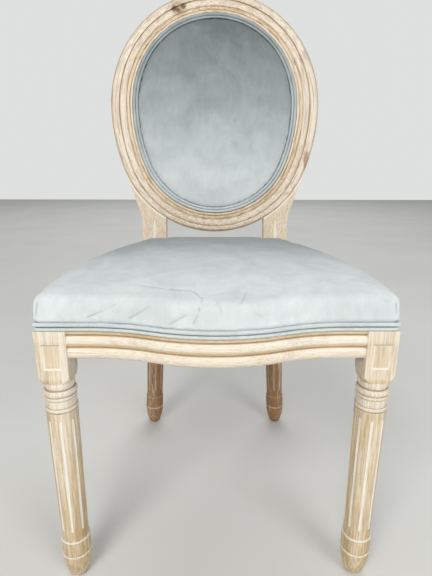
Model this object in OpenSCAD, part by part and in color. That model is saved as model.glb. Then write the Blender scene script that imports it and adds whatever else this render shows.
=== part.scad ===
// Upholstered side chair with an oval back, turned and fluted legs and a serpentine moulded rail.
// +Z is up and the front faces -Y. Millimetres.

/* [Seat frame] */
// Width over the front leg blocks
seat_w = 490; // [470:1:510]
// Depth from the front leg blocks to the back of the rear leg blocks
seat_depth = 465; // [450:1:485]
// Height of the ledge that the upholstery stands on
ledge_z = 424; // [415:1:440]
// Height of the moulded face that shows under the ledge
face_h = 40.5; // [38:0.5:44]
// Height of the part of a rail that the upholstery covers
rebate_h = 20; // [18:0.5:24]
// Depth of that rebate behind the line of the wood
rebate_d = 10.5; // [9.5:0.1:11.5]
// Thickness of the rails
rail_t = 22; // [20:0.5:26]
// How far the rails stand behind the faces of the leg blocks
rail_inset = 1; // [0.5:0.1:2]
// How far the front rail bows out in its middle
bow_d = 31; // [20:1:36]
// Width of the bowed middle between the two turns of its curve
bow_w = 174; // [160:1:190]
// Thickness of the tenons
tenon_t = 9; // [7:0.5:10]
// Length of the tenons
tenon_l = 18; // [14:0.5:18]
// Clearance of a tenon in its mortise
tenon_gap = 0.15; // [0.05:0.05:0.3]
// Thickness of the corner blocks
brace_t = 24; // [18:1:30]
// Length of a corner block along each rail
brace_l = 62; // [56:1:70]

/* [Legs] */
// Width of the square block of a front leg
block_w = 42; // [40:0.5:46]
// Height of the part of the blocks below the ledge
block_h = 76.5; // [70:0.5:84]
// Width of the block of a rear leg, and of the stile at the seat
rear_block_w = 53.8; // [50:0.2:58]
// Depth of the block of a rear leg
rear_block_d = 43; // [40:0.5:46]
// Width between the rear leg blocks
rear_gap = 223; // [210:1:240]
// Diameter at the top of the fluted shaft
shaft_top_d = 45; // [42:0.2:46]
// Diameter at the foot of the fluted shaft
shaft_foot_d = 40.8; // [38:0.2:41.5]
// Diameter of the collar above the toe
collar_d = 44.6; // [43:0.2:46]
// Diameter at the bottom of the toe
toe_d = 28; // [26:0.5:32]
// Height of the toe
toe_h = 46; // [40:1:50]
// Height of the collar
collar_h = 27; // [24:1:30]
// How much smaller the rear legs are in diameter
rear_slim = 2.6; // [0:0.2:4]
// Number of flutes
flutes = 8; // [6:1:10]
// Radius of the gouge that cuts the flutes
flute_r = 1.6; // [1.2:0.1:2]
// Depth of the flutes
flute_d = 0.9; // [0.5:0.1:1.2]
// Outward splay of the rear legs in degrees
rear_splay = 3; // [1:0.1:4]
// Backward rake of the rear legs in degrees
rear_rake = 2; // [0:0.1:4]
// Width of the sunk panel on the blocks
panel_w = 25; // [20:0.5:28]
// Height of the sunk panel
panel_h = 37; // [30:0.5:40]
// Depth of the sunk panel
panel_d = 1.6; // [1:0.1:2.4]
// Diameter of the glides
glide_d = 22; // [18:0.5:25]
// Height of the glides
glide_h = 4; // [3:0.5:6]

/* [Oval back] */
// Rake of the back in degrees
back_rake = 11.1; // [8:0.1:14]
// Thickness of the stiles
stile_t = 26; // [24:0.5:28]
// Height of the back plane's zero line, just above the ledge
back_z = 450; // [446:1:456]
// How far the stiles' front faces stand behind the front of the rear blocks, at the zero line
stile_setback = 21.4; // [18:0.2:23]
// Width of the oval
oval_w = 464; // [450:1:476]
// Top of the oval, up the back from the zero line
oval_top = 568; // [560:1:580]
// Widest level of the oval, up the back from the zero line
oval_mid = 326; // [320:1:332]
// Bottom of the oval, up the back from the zero line
oval_foot = 44.2; // [40:0.2:50]
// Width of the opening in the oval
open_w = 368; // [360:1:374]
// Top of the opening
open_top = 522; // [516:1:526]
// Bottom of the opening
open_foot = 85; // [82:0.5:92]
// Angle at which the crest's curve meets the sides, in degrees
crest_angle = 30; // [25:1:40]
// Angle at which the lower curve meets the sides, in degrees
lower_angle = 22; // [20:1:26]
// How far the oval stands proud of the stiles
oval_proud = 3.5; // [2:0.1:5]
// Width of the moulded band round the opening
moulding_w = 30; // [28:0.5:31]
// Width of the rebate that the back's upholstery lies in
back_rebate_w = 16; // [14.5:0.5:18]
// Depth of the front rebate below the stiles' face
front_rebate = 5; // [4:0.5:7]
// Depth of the rear rebate from the back of the oval
rear_rebate = 8; // [7:0.5:9]
// Tangent angle of the stile's outer edge where it meets the oval, in degrees
stile_angle = 20; // [18:0.5:23]
// Radius of the curve in the stile's outer edge
stile_curve_r = 120; // [90:5:140]
// Diameter of the dowels
dowel_d = 8; // [6:0.5:10]
// Length of the dowels
dowel_l = 40; // [30:1:44]
// Clearance of a dowel or screw in its hole, on the radius
hole_gap = 0.1; // [0.05:0.05:0.2]

/* [Upholstery] */
// Height of the seat's crown above the ledge
crown_h = 66; // [60:1:76]
// Height of the seat's upright side above the ledge
boxing_h = 49; // [44:1:52]
// How much higher that side stands at the rear
rear_lift = 4.4; // [0:0.2:6]
// Thickness of the velvet with its lining
velvet_t = 1.5; // [1.2:0.1:2]
// Gap between soft pieces and their neighbours
soft_gap = 0.4; // [0.3:0.1:0.6]
// Diameter of the welt's lower or inner cord
welt_d = 6; // [5:0.2:6.4]
// Diameter of the welt's upper or outer cord
welt_top_d = 6.4; // [5.4:0.2:6.8]
// How far the back's dome stands out in front of the oval
dome_h = 20; // [14:1:26]
// How far the outside back bellies out
rear_dome_h = 5; // [2:0.5:8]
// Thickness of the ply board in the back
board_t = 3; // [2:0.5:4]
// Width of the webbing
web_w = 50; // [45:1:54]
// Thickness of the webbing
web_t = 1.2; // [0.8:0.1:1.5]
// Thickness of the cloth under the seat
dust_t = 0.8; // [0.5:0.1:1.2]

/* [Hidden] */
$fn = 96;
eps = 0.01;

limed = "wheat";
shaded = "burlywood";
velvet = "lightsteelblue";

// Heights of the frame
rail_bottom = ledge_z - face_h;
rail_top = ledge_z + rebate_h;
block_bottom = ledge_z - block_h;
tenon_shoulder = 8;
tenon_drop = 6;
tenon_bottom = rail_bottom + tenon_shoulder;
tenon_top = ledge_z - tenon_drop;
panel_z = ledge_z - block_h / 2;

// Plan of the frame, with y = 0 at the front of the front leg blocks
half_w = seat_w / 2;
rear_in = rear_gap / 2;
rear_half = rear_in + rear_block_w;
rear_y = seat_depth - rear_block_d;
side_r = (pow(rear_y - block_w, 2) + pow(half_w - rear_half, 2)) / (2 * (half_w - rear_half));
side_cx = half_w - side_r;
bow_half = bow_w / 2;
bow_r = (pow(bow_half, 2) + pow(bow_d / 2, 2)) / bow_d;
bow_angle = asin(bow_half / bow_r);
bow_cy = bow_r - bow_d;
rail_back = rail_inset + rail_t;
rail_mid = rail_inset + rail_t / 2;

// The plane of the back
back_y = rear_y + stile_setback;
stile_line = back_y - (back_z - ledge_z) * tan(back_rake);
stile_low = -(back_z - ledge_z + 18);
oval_back = -stile_t;
back_floor = -front_rebate;
rear_floor = oval_back + rear_rebate;
edge_round_w = 8;
rear_round = 4;

// A four-centre oval: half width, widest level, crest radius, upper side radius,
// lower radius, lower side radius, level of the crest's centre, level of the lower centre
function arc_step(a, b, angle) = (b - a) / (cos(angle) + sin(angle) - 1);
function oval(a, mid, top, foot) =
    let(up = arc_step(a, top - mid, crest_angle), low = arc_step(a, mid - foot, lower_angle))
    [a, mid, top - mid - up * sin(crest_angle), a + up * cos(crest_angle),
        mid - foot - low * sin(lower_angle), a + low * cos(lower_angle),
        mid + up * sin(crest_angle), mid - low * sin(lower_angle)];
outline = oval(oval_w / 2, oval_mid, oval_top, oval_foot);
opening = oval(open_w / 2, oval_mid, open_top, open_foot);

// The arcs of an oval: 0 crest, 1 upper right side, 2 lower right side, 3 lower
crest = 0;
upper_side = 1;
lower_side = 2;
lower = 3;
function arc_centre(o, i) = [[0, o[6]], [o[0] - o[3], o[1]], [o[0] - o[5], o[1]], [0, o[7]]][i];
function arc_radius(o, i) = [o[2], o[3], o[5], o[4]][i];
arc_start = [crest_angle, 0, -lower_angle, 180 + lower_angle];
arc_sweep = [180 - 2 * crest_angle, crest_angle, lower_angle, 180 - 2 * lower_angle];

// The point of an oval whose outward normal has an angle from -180 to 180, drawn in by an inset
function arc_at(angle) = let(tilt = min(abs(angle), 180 - abs(angle)))
    angle >= 0 ? (tilt >= crest_angle ? crest : upper_side) : (tilt >= lower_angle ? lower : lower_side);
function oval_point(o, angle, inset) =
    let(i = arc_at(angle), c = arc_centre(o, i), r = arc_radius(o, i) - inset, side = abs(angle) > 90 ? -1 : 1)
    [side * c[0] + r * cos(angle), c[1] + r * sin(angle)];

// Place of the frame, so that the chair stands centred on the origin
front_reach = -(bow_d - rail_inset);
back_reach = back_y + (oval_top - rear_round) * sin(back_rake)
    + (stile_t - rear_round) * cos(back_rake) + rear_round;
centre_y = (front_reach + back_reach) / 2;

module frame() {
    translate([0, -centre_y, 0]) children();
}

// What is drawn in the back's own plane: x across, y up the back, z out to the front
module on_back() {
    translate([0, back_y, back_z]) rotate([90 - back_rake, 0, 0]) children();
}

module both_sides() {
    children();
    mirror([1, 0, 0]) children();
}

// A segment of a circle that stands out from x = 0 by its rise, from y = 0 to its height, and
// reaches back into what carries it by a lap
module bulge(height, rise, lap = 0) {
    r = (pow(height / 2, 2) + rise * rise) / (2 * rise);
    intersection() {
        translate([rise - r, height / 2]) circle(r = r, $fn = 180);
        translate([-lap, 0]) square([rise + lap, height]);
    }
}

// Section of a rail: x is the depth behind the wood's line, y the height
bead_h = 6;
bead_rise = 2;
band_h = 16;
band_rise = 3.2;
quirk = 0.8;
torus_rise = 4.5;
cut_back = rail_inset + torus_rise;
module rail_section() {
    torus_h = face_h - bead_h - band_h - 2 * quirk;
    difference() {
        translate([cut_back, rail_bottom]) square([rail_back - cut_back, face_h + rebate_h]);
        translate([0, ledge_z]) square([rebate_d, rebate_h + 1]);
    }
    translate([cut_back, rail_bottom]) mirror([1, 0]) bulge(band_h, band_rise);
    translate([cut_back, rail_bottom + band_h + quirk]) mirror([1, 0]) bulge(torus_h, torus_rise);
    translate([cut_back, ledge_z - bead_h]) mirror([1, 0]) bulge(bead_h, bead_rise);
}

// Sweeps a section along the front: a middle arc, two turned arcs and two straight ends. The
// arcs meet on a line square to both, which ends in front of the wood and behind it
front_run = bow_r / 4;
back_run = bow_r / 2;
turn_front = [bow_half + front_run * sin(bow_angle), -bow_d / 2 - front_run * cos(bow_angle)];
turn_back = [bow_half - back_run * sin(bow_angle), -bow_d / 2 + back_run * cos(bow_angle)];
module along_front(reach) {
    intersection() {
        translate([0, bow_cy, 0]) rotate_extrude($fn = 360) translate([bow_r, 0]) mirror([1, 0]) children();
        linear_extrude(back_z) polygon([[-turn_back[0], turn_back[1]], [-turn_front[0], turn_front[1]],
            turn_front, turn_back]);
    }
    both_sides() {
        intersection() {
            translate([bow_w, -bow_r, 0]) rotate_extrude($fn = 360) translate([bow_r, 0]) children();
            linear_extrude(back_z) polygon([turn_back, turn_front, [bow_w, turn_front[1]],
                [bow_w, turn_back[1]]]);
        }
        translate([bow_w, 0, 0]) rotate([90, 0, 90]) linear_extrude(reach - bow_w) children();
    }
}

// Sweeps a section along the right side, from the front block back to a given y
module along_side(end_y) {
    inner_r = side_r - rail_back;
    intersection() {
        translate([side_cx, block_w, 0]) rotate_extrude(angle = asin((end_y - block_w) / inner_r) + 0.5, $fn = 720)
            translate([side_r, 0]) mirror([1, 0]) children();
        translate([0, block_w, 0]) cube([half_w + 1, end_y - block_w, rail_top + 20]);
    }
}

// Plan of everything inside the wood's line, less an inset
module seat_plan(inset) {
    difference() {
        intersection() {
            translate([-half_w, -bow_d]) square([seat_w, bow_d + seat_depth - inset]);
            translate([side_cx, block_w]) circle(r = side_r - inset, $fn = 720);
            translate([-side_cx, block_w]) circle(r = side_r - inset, $fn = 720);
        }
        for (side = [-1, 1]) {
            translate([side * bow_w, -bow_r]) circle(r = bow_r + inset, $fn = 360);
            translate([side < 0 ? -seat_w : bow_w, -bow_d - 1]) square([seat_w - bow_w, bow_d + 1 + inset]);
        }
        difference() {
            translate([-bow_half, -bow_d - 1]) square([bow_w, bow_d / 2 + 1 + inset]);
            translate([0, bow_cy]) circle(r = bow_r - inset, $fn = 360);
        }
    }
}

// Leg turnings, from the top down: neck, torus, fillet, band, astragal, shaft, collar and toe
neck_h = 13;
torus_h = 10;
fillet_h = 5.4;
ring_band_h = 12;
astragal_h = 6.2;
neck_z = block_bottom - neck_h;
shaft_top = neck_z - torus_h - fillet_h - ring_band_h - astragal_h;
shoulder_h = 8;
collar_top = toe_h + collar_h;
flute_stop = 16;
flute_start = 24;
flute_top = shaft_top - flute_stop;
flute_foot = collar_top + flute_start;
flute_turn = -9.5;

ring_lap = 0.4;
module ring(z, height, radius, rise) {
    translate([0, z]) square([radius - rise - ring_lap / 2, height]);
    translate([radius - rise, z]) bulge(height, rise, ring_lap);
}

module leg_section(slim, under) {
    collar = collar_d / 2 - slim;
    shaft = shaft_top_d / 2 - slim;
    foot = shaft_foot_d / 2 - slim;
    toe = (toe_d - slim) / 2;
    toe_arc = (pow(toe_h - glide_h, 2) + pow(collar - toe, 2)) / (2 * (collar - toe));
    intersection() {
        translate([collar - toe_arc, toe_h]) circle(r = toe_arc, $fn = 360);
        translate([0, glide_h - under]) square([collar, toe_h - glide_h + under]);
    }
    ring(toe_h - 1.2, 2.4, collar + 0.7, 0.8);
    ring(toe_h, collar_h, collar, 0.8);
    ring(collar_top - 1.2, 2.6, collar + 0.2, 0.9);
    polygon([[0, collar_top - 1], [collar - 1, collar_top - 1], [collar - 1, collar_top],
        [foot, collar_top + shoulder_h], [shaft, shaft_top], [0, shaft_top]]);
    ring(shaft_top, astragal_h, shaft + 0.6, 1.8);
    ring(shaft_top + astragal_h, ring_band_h, shaft - 0.8, 0.5);
    ring(shaft_top + astragal_h + ring_band_h, fillet_h, shaft + 0.1, 1.5);
    ring(neck_z - torus_h, torus_h, shaft + 1, 3);
    ring(neck_z, neck_h + 2, shaft - 1, 2.6);
}

// The turned part of a leg with its flutes, standing over the origin
module turning(slim, under) {
    foot = shaft_foot_d / 2 - slim;
    shaft = shaft_top_d / 2 - slim;
    slope = atan((shaft - foot) / (shaft_top - collar_top - shoulder_h));
    start = foot + (flute_foot - collar_top - shoulder_h) * tan(slope) + flute_r - flute_d;
    run = (flute_top - flute_foot) / cos(slope);
    difference() {
        rotate_extrude() leg_section(slim, under);
        for (k = [0 : flutes - 1])
            rotate([0, 0, k * 360 / flutes - 90 + flute_turn]) translate([start, 0, flute_foot])
                rotate([0, slope, 0]) {
                    cylinder(r = flute_r, h = run, $fn = 24);
                    sphere(r = flute_r, $fn = 24);
                    translate([0, 0, run]) sphere(r = flute_r, $fn = 24);
                }
    }
}

// A leg's square block, its lower corners rounded down to the turning
module block(width, depth, height) {
    round_r = norm([width, depth]) / 2 + 0.8;
    neck_r = shaft_top_d / 2 + 2;
    rise = sqrt(round_r * round_r - neck_r * neck_r);
    intersection() {
        translate([-width / 2, -depth / 2, block_bottom]) cube([width, depth, height]);
        translate([0, 0, block_bottom + rise]) {
            sphere(r = round_r);
            cylinder(r = round_r, h = height);
        }
    }
}

// A shallow panel with sloping sides, sunk into the face at y = 0 that looks to the front
module sunk_panel() {
    slope = 3;
    intersection() {
        translate([0, 0, -panel_h / 2]) linear_extrude(panel_h)
            polygon([[-panel_w / 2, 0], [panel_w / 2, 0], [panel_w / 2 - slope, panel_d],
                [-panel_w / 2 + slope, panel_d]]);
        translate([-panel_w / 2, 0, 0]) rotate([90, 0, 90]) linear_extrude(panel_w)
            polygon([[0, -panel_h / 2], [panel_d, -panel_h / 2 + slope],
                [panel_d, panel_h / 2 - slope], [0, panel_h / 2]]);
    }
}

// Tenons on the right half of the frame; a gap makes the mortise of each
module tenon(gap) {
    translate([-tenon_t / 2 - gap, -eps, tenon_bottom - gap])
        cube([tenon_t + 2 * gap, tenon_l + eps + 4 * gap, tenon_top - tenon_bottom + 2 * gap]);
}
rear_tenon_x = side_cx + sqrt(pow(side_r - rail_mid, 2) - pow(rear_y - block_w, 2));
module front_rail_tenon(gap) {
    translate([half_w - block_w, rail_mid, 0]) rotate([0, 0, -90]) tenon(gap);
}
module side_front_tenon(gap) {
    translate([half_w - rail_mid, block_w, 0]) rotate([0, 0, 180]) tenon(gap);
}
module side_rear_tenon(gap) {
    translate([rear_tenon_x, rear_y, 0]) tenon(gap);
}
module rear_rail_tenon(gap) {
    translate([rear_in, seat_depth - rail_mid, 0]) rotate([0, 0, -90]) tenon(gap);
}

// Places of the legs
leg_x = half_w - block_w / 2;
leg_y = block_w / 2;
rear_leg_x = rear_in + rear_block_w / 2;
rear_leg_y = rear_y + rear_block_d / 2;
rear_foot_x = rear_leg_x + block_bottom * tan(rear_splay);
rear_foot_y = rear_leg_y + block_bottom * tan(rear_rake);

// Glides, each a disc with a nail up into the toe
nail_d = 3;
nail_l = 14;
module nail_hole() {
    translate([0, 0, glide_h - 1]) cylinder(d = nail_d + 2 * hole_gap, h = nail_l + 2, $fn = 24);
}
module glide() {
    rim = 1.2;
    color("dimgray") {
        rotate_extrude() polygon([[0, 0], [glide_d / 2 - rim, 0], [glide_d / 2, rim],
            [glide_d / 2, glide_h], [0, glide_h]]);
        translate([0, 0, glide_h - 1]) cylinder(d = nail_d, h = nail_l, $fn = 24);
    }
}

module front_leg() {
    color(limed) difference() {
        translate([leg_x, leg_y, 0]) {
            turning(0, 0);
            block(block_w, block_w, block_h + rebate_h);
        }
        // Ledge and rebate for the upholstery
        translate([half_w - block_w - 1, -1, ledge_z]) cube([block_w + 2, rebate_d + 1, rebate_h + 1]);
        translate([half_w - rebate_d, -1, ledge_z]) cube([rebate_d + 1, block_w + 2, rebate_h + 1]);
        translate([leg_x, 0, panel_z]) sunk_panel();
        translate([half_w, leg_y, panel_z]) rotate([0, 0, 90]) sunk_panel();
        front_rail_tenon(tenon_gap);
        side_front_tenon(tenon_gap);
        translate([leg_x, leg_y, 0]) nail_hole();
    }
}

// Outer edge of the right stile: upright and just inside the block's face, a hollow curve, then
// straight to touch the oval. The shape is drawn in from that edge by an inset
stile_half = rear_half - 0.3;
hair = 0.1;
feather = 18;
touch_x = outline[0] - outline[5] + outline[5] * cos(stile_angle);
touch_y = outline[1] - outline[5] * sin(stile_angle);
bend_y = touch_y - (touch_x - stile_half) / tan(stile_angle);
curve_foot_y = bend_y - stile_curve_r * tan(stile_angle / 2);
curve_centre = [stile_half + stile_curve_r, curve_foot_y];
module stile_shape(inset) {
    side = stile_half - inset;
    bend = bend_y + inset * tan(stile_angle / 2);
    curve_top = curve_centre + (stile_curve_r + inset) * [-cos(stile_angle), sin(stile_angle)];
    tip_y = touch_y - feather;
    polygon([[rear_in, stile_low], [side, stile_low], [side, bend],
        [side + (tip_y - bend) * tan(stile_angle), tip_y], [rear_in, tip_y]]);
    difference() {
        polygon([[side - 1, curve_foot_y], [side, curve_foot_y], curve_top, [side - 1, curve_top[1]]]);
        translate(curve_centre) circle(r = stile_curve_r + inset - hair, $fn = 360);
    }
}

// Carving on the stile's face: a narrow groove that follows its outer edge and a short stopped flute
groove_in = 7.5;
groove_w = 3;
groove_d = 1;
stile_flute_r = 6;
stile_flute_d = 1.6;
stile_flute_foot = 22;
stile_flute_top = 68;
module stile_carving() {
    translate([0, 0, -groove_d]) linear_extrude(groove_d + 1) difference() {
        stile_shape(groove_in);
        stile_shape(groove_in + groove_w);
    }
    translate([rear_leg_x, stile_flute_foot, stile_flute_r - stile_flute_d]) {
        rotate([-90, 0, 0]) cylinder(r = stile_flute_r, h = stile_flute_top - stile_flute_foot, $fn = 48);
        sphere(r = stile_flute_r, $fn = 48);
        translate([0, stile_flute_top - stile_flute_foot, 0]) sphere(r = stile_flute_r, $fn = 48);
    }
}

// Dowels between the stile and the oval, in the back's plane
stile_dowel_angles = [-57, -48];
module stile_dowel(angle, length, radius) {
    c = arc_centre(outline, lower);
    mid = arc_radius(outline, lower) + 3;
    translate([c[0] + mid * cos(angle), c[1] + mid * sin(angle), -stile_t / 2])
        rotate([0, 90, angle]) cylinder(r = radius, h = length, center = true, $fn = 32);
}

module rear_leg() {
    color(shaded) difference() {
        union() {
            difference() {
                translate([rear_foot_x, rear_foot_y, 0]) rotate([rear_rake, -rear_splay, 0])
                    turning(rear_slim / 2, 3);
                translate([rear_foot_x - toe_d, rear_foot_y - toe_d, glide_h - 10]) cube([2 * toe_d, 2 * toe_d, 10]);
            }
            translate([rear_leg_x, rear_leg_y, 0]) block(rear_block_w, rear_block_d, block_h);
            on_back() difference() {
                translate([0, 0, -stile_t]) linear_extrude(stile_t) stile_shape(0);
                stile_carving();
                translate([0, arc_centre(outline, lower)[1], -stile_t - 1])
                    cylinder(r = arc_radius(outline, lower), h = stile_t + 2, $fn = 360);
            }
        }
        side_rear_tenon(tenon_gap);
        rear_rail_tenon(tenon_gap);
        translate([rear_foot_x, rear_foot_y, 0]) nail_hole();
        on_back() for (angle = stile_dowel_angles)
            stile_dowel(angle, dowel_l + 1, dowel_d / 2 + hole_gap);
    }
}

// Corner blocks and their screws, drawn for the right side
brace_z = rail_bottom + 4;
screw_z = brace_z + brace_t / 2;
screw_d = 4;
screw_l = 22;
head_d = 8;
head_h = 3;
screw_seat = 8;
inner_side_r = side_r - rail_back;
function inner_side_x(y) = side_cx + sqrt(pow(inner_side_r, 2) - pow(y - block_w, 2));
front_screw_run = 37;
rear_screw_run = 14;
front_screw_x = half_w - rail_back - front_screw_run;
front_screw_y = rail_back + front_screw_run;
rear_screw_x = rear_in - rear_screw_run;
rear_screw_y = rear_y - rear_screw_run;

module at_front_screws() {
    translate([front_screw_x, rail_back + screw_seat, screw_z]) rotate([90, 0, 0]) children();
    translate([inner_side_x(front_screw_y) - screw_seat, front_screw_y, screw_z]) rotate([0, 90, 0]) children();
}
module at_rear_screws() {
    translate([rear_screw_x, seat_depth - rail_back - screw_seat, screw_z]) rotate([-90, 0, 0]) children();
    translate([inner_side_x(rear_screw_y) - screw_seat, rear_screw_y, screw_z]) rotate([0, 90, 0]) children();
}
module screw_hole() {
    cylinder(d = screw_d + 2 * hole_gap, h = screw_l + 1, $fn = 24);
    translate([0, 0, -brace_l]) cylinder(d = head_d + 1, h = brace_l, $fn = 32);
}
module screw_pilot() {
    cylinder(d = screw_d + 2 * hole_gap, h = screw_l + 1, $fn = 24);
}
module screw() {
    cylinder(d = screw_d, h = screw_l, $fn = 24);
    translate([0, 0, -head_h]) difference() {
        cylinder(d = head_d, h = head_h, $fn = 32);
        translate([-head_d / 2 + 1, -0.5, -1]) cube([head_d - 2, 1, 2]);
        translate([-0.5, -head_d / 2 + 1, -1]) cube([1, head_d - 2, 2]);
    }
}

module corner_block_front() {
    inner_x = half_w - rail_back;
    color("tan") difference() {
        translate([0, 0, brace_z]) linear_extrude(brace_t) intersection() {
            polygon([[inner_x - brace_l, rail_back], [half_w - block_w, rail_back], [half_w - block_w, block_w],
                [inner_x + 10, block_w], [inner_x + 10, rail_back + brace_l]]);
            translate([side_cx, block_w]) circle(r = inner_side_r, $fn = 720);
        }
        at_front_screws() screw_hole();
    }
}

module corner_block_rear() {
    inner_y = seat_depth - rail_back;
    color("tan") difference() {
        translate([0, 0, brace_z]) linear_extrude(brace_t) intersection() {
            polygon([[rear_in, inner_y], [rear_in, rear_y], [rear_half + 5, rear_y],
                [rear_half + 5, rear_y - brace_l + 6], [rear_in - brace_l + 16, inner_y]]);
            translate([side_cx, block_w]) circle(r = inner_side_r, $fn = 720);
        }
        at_rear_screws() screw_hole();
    }
}

module front_rail() {
    color(limed) difference() {
        union() {
            along_front(half_w - block_w) rail_section();
            both_sides() front_rail_tenon(0);
        }
        both_sides() at_front_screws() screw_pilot();
    }
}

module side_rail() {
    color(limed) difference() {
        union() {
            along_side(rear_y) rail_section();
            side_front_tenon(0);
            side_rear_tenon(0);
        }
        at_front_screws() screw_pilot();
        at_rear_screws() screw_pilot();
    }
}

module rear_rail() {
    color(shaded) difference() {
        union() {
            translate([-rear_in, seat_depth, 0]) rotate([90, 0, 90])
                linear_extrude(rear_gap) mirror([1, 0]) rail_section();
            both_sides() rear_rail_tenon(0);
        }
        both_sides() at_rear_screws() screw_pilot();
    }
}

// Section of the oval's blank, x = 0 at its outer edge: both outer edges are eased
blank_w = 76;
module blank_section() {
    ease_r = (pow(edge_round_w, 2) + pow(oval_proud, 2)) / (2 * oval_proud);
    difference() {
        translate([-blank_w, oval_back]) square([blank_w, stile_t + oval_proud]);
        difference() {
            translate([-edge_round_w, 0]) square([edge_round_w + 1, oval_proud + 1]);
            translate([-edge_round_w, oval_proud - ease_r]) circle(r = ease_r, $fn = 180);
        }
        difference() {
            translate([-rear_round, oval_back - 1]) square([rear_round + 1, rear_round + 1]);
            translate([-rear_round, oval_back + rear_round]) circle(r = rear_round);
        }
    }
}

// What is cut from the blank, x = 0 at the opening's edge: the rebates and the mouldings' quirks
mould_floor = 0.6;
inner_bead_w = 6;
inner_band_w = 6.6;
module moulding(x, width, rise, low) {
    base = oval_proud - low - rise;
    translate([x, mould_floor]) square([width, base - mould_floor - ring_lap / 2]);
    translate([x + width, base]) rotate(90) bulge(width, rise, ring_lap);
}
module opening_section() {
    inward = blank_w - 14;
    band_x = inner_bead_w + quirk;
    main_x = band_x + inner_band_w + quirk;
    translate([-inward, back_floor]) square([inward, stile_t]);
    translate([-inward, oval_back - 1]) square([inward, rear_rebate + 1]);
    translate([-inward, oval_back - 1]) square([inward - back_rebate_w, 2 * stile_t]);
    difference() {
        translate([-eps, mould_floor]) square([moulding_w + eps, stile_t]);
        moulding(0, inner_bead_w, 1.7, 0.6);
        moulding(band_x, inner_band_w, 1, 0.9);
        moulding(main_x, moulding_w - main_x - 1.4, 1.6, 0);
    }
}

// The part of the back's plane that belongs to one arc of an oval, between its two joint lines
joint_reach = 90;
module arc_field(o, i) {
    from = arc_start[i];
    to = from + arc_sweep[i];
    turn = i == lower ? 360 : 0;
    far = arc_centre(o, i) + 2 * arc_radius(o, i) * [cos((from + to) / 2), sin((from + to) / 2)];
    polygon([oval_point(o, from - turn, joint_reach), oval_point(o, from - turn, -joint_reach),
        far, oval_point(o, to - turn, -joint_reach), oval_point(o, to - turn, joint_reach)]);
}

module oval_arc(i) {
    c = arc_centre(outline, i);
    o = arc_centre(opening, i);
    intersection() {
        difference() {
            translate([c[0], c[1], 0]) rotate_extrude($fn = 360)
                translate([arc_radius(outline, i), 0]) blank_section();
            translate([o[0], o[1], 0]) rotate_extrude($fn = 360)
                translate([arc_radius(opening, i), 0]) opening_section();
        }
        translate([0, 0, -stile_t - 1]) linear_extrude(stile_t + oval_proud + 2) arc_field(outline, i);
    }
}

// Two dowels across each joint of the oval
joint_depths = [13, 34];
module oval_joint_dowels(length, radius) {
    both_sides() for (joint = [[crest, crest_angle], [lower, -lower_angle]], depth = joint_depths) {
        c = arc_centre(outline, joint[0]);
        r = arc_radius(outline, joint[0]) - depth;
        translate([c[0] + r * cos(joint[1]), c[1] + r * sin(joint[1]), -stile_t / 2])
            rotate([-90, 0, joint[1]]) cylinder(r = radius, h = length, center = true, $fn = 32);
    }
}

module oval_dowels() {
    color("tan") on_back() oval_joint_dowels(dowel_l, dowel_d / 2);
}

module stile_dowels() {
    color("tan") on_back() both_sides() for (angle = stile_dowel_angles)
        stile_dowel(angle, dowel_l, dowel_d / 2);
}

module crest_arc() {
    color(limed) on_back() difference() {
        oval_arc(crest);
        oval_joint_dowels(dowel_l + 1, dowel_d / 2 + hole_gap);
    }
}

module oval_side() {
    color(limed) on_back() difference() {
        union() {
            oval_arc(upper_side);
            oval_arc(lower_side);
        }
        oval_joint_dowels(dowel_l + 1, dowel_d / 2 + hole_gap);
    }
}

module lower_arc() {
    color(limed) on_back() difference() {
        oval_arc(lower);
        oval_joint_dowels(dowel_l + 1, dowel_d / 2 + hole_gap);
        both_sides() for (angle = stile_dowel_angles)
            stile_dowel(angle, dowel_l + 1, dowel_d / 2 + hole_gap);
    }
}

// Closed skin through rings of points that run anticlockwise from above, first and last to a point
module skin(first, rings, last) {
    n = len(rings[0]);
    m = len(rings);
    points = concat([first], [for (r = rings) each r], [last]);
    faces = concat(
        [for (k = [0 : n - 1]) [0, 1 + (k + 1) % n, 1 + k]],
        [for (j = [0 : m - 2], k = [0 : n - 1]) let(a = 1 + j * n + k, b = 1 + j * n + (k + 1) % n)
            each [[a, b + n, a + n], [a, b, b + n]]],
        [for (k = [0 : n - 1]) [1 + m * n, 1 + (m - 1) * n + k, 1 + (m - 1) * n + (k + 1) % n]]);
    polyhedron(points = points, faces = faces, convexity = 4);
}

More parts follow.
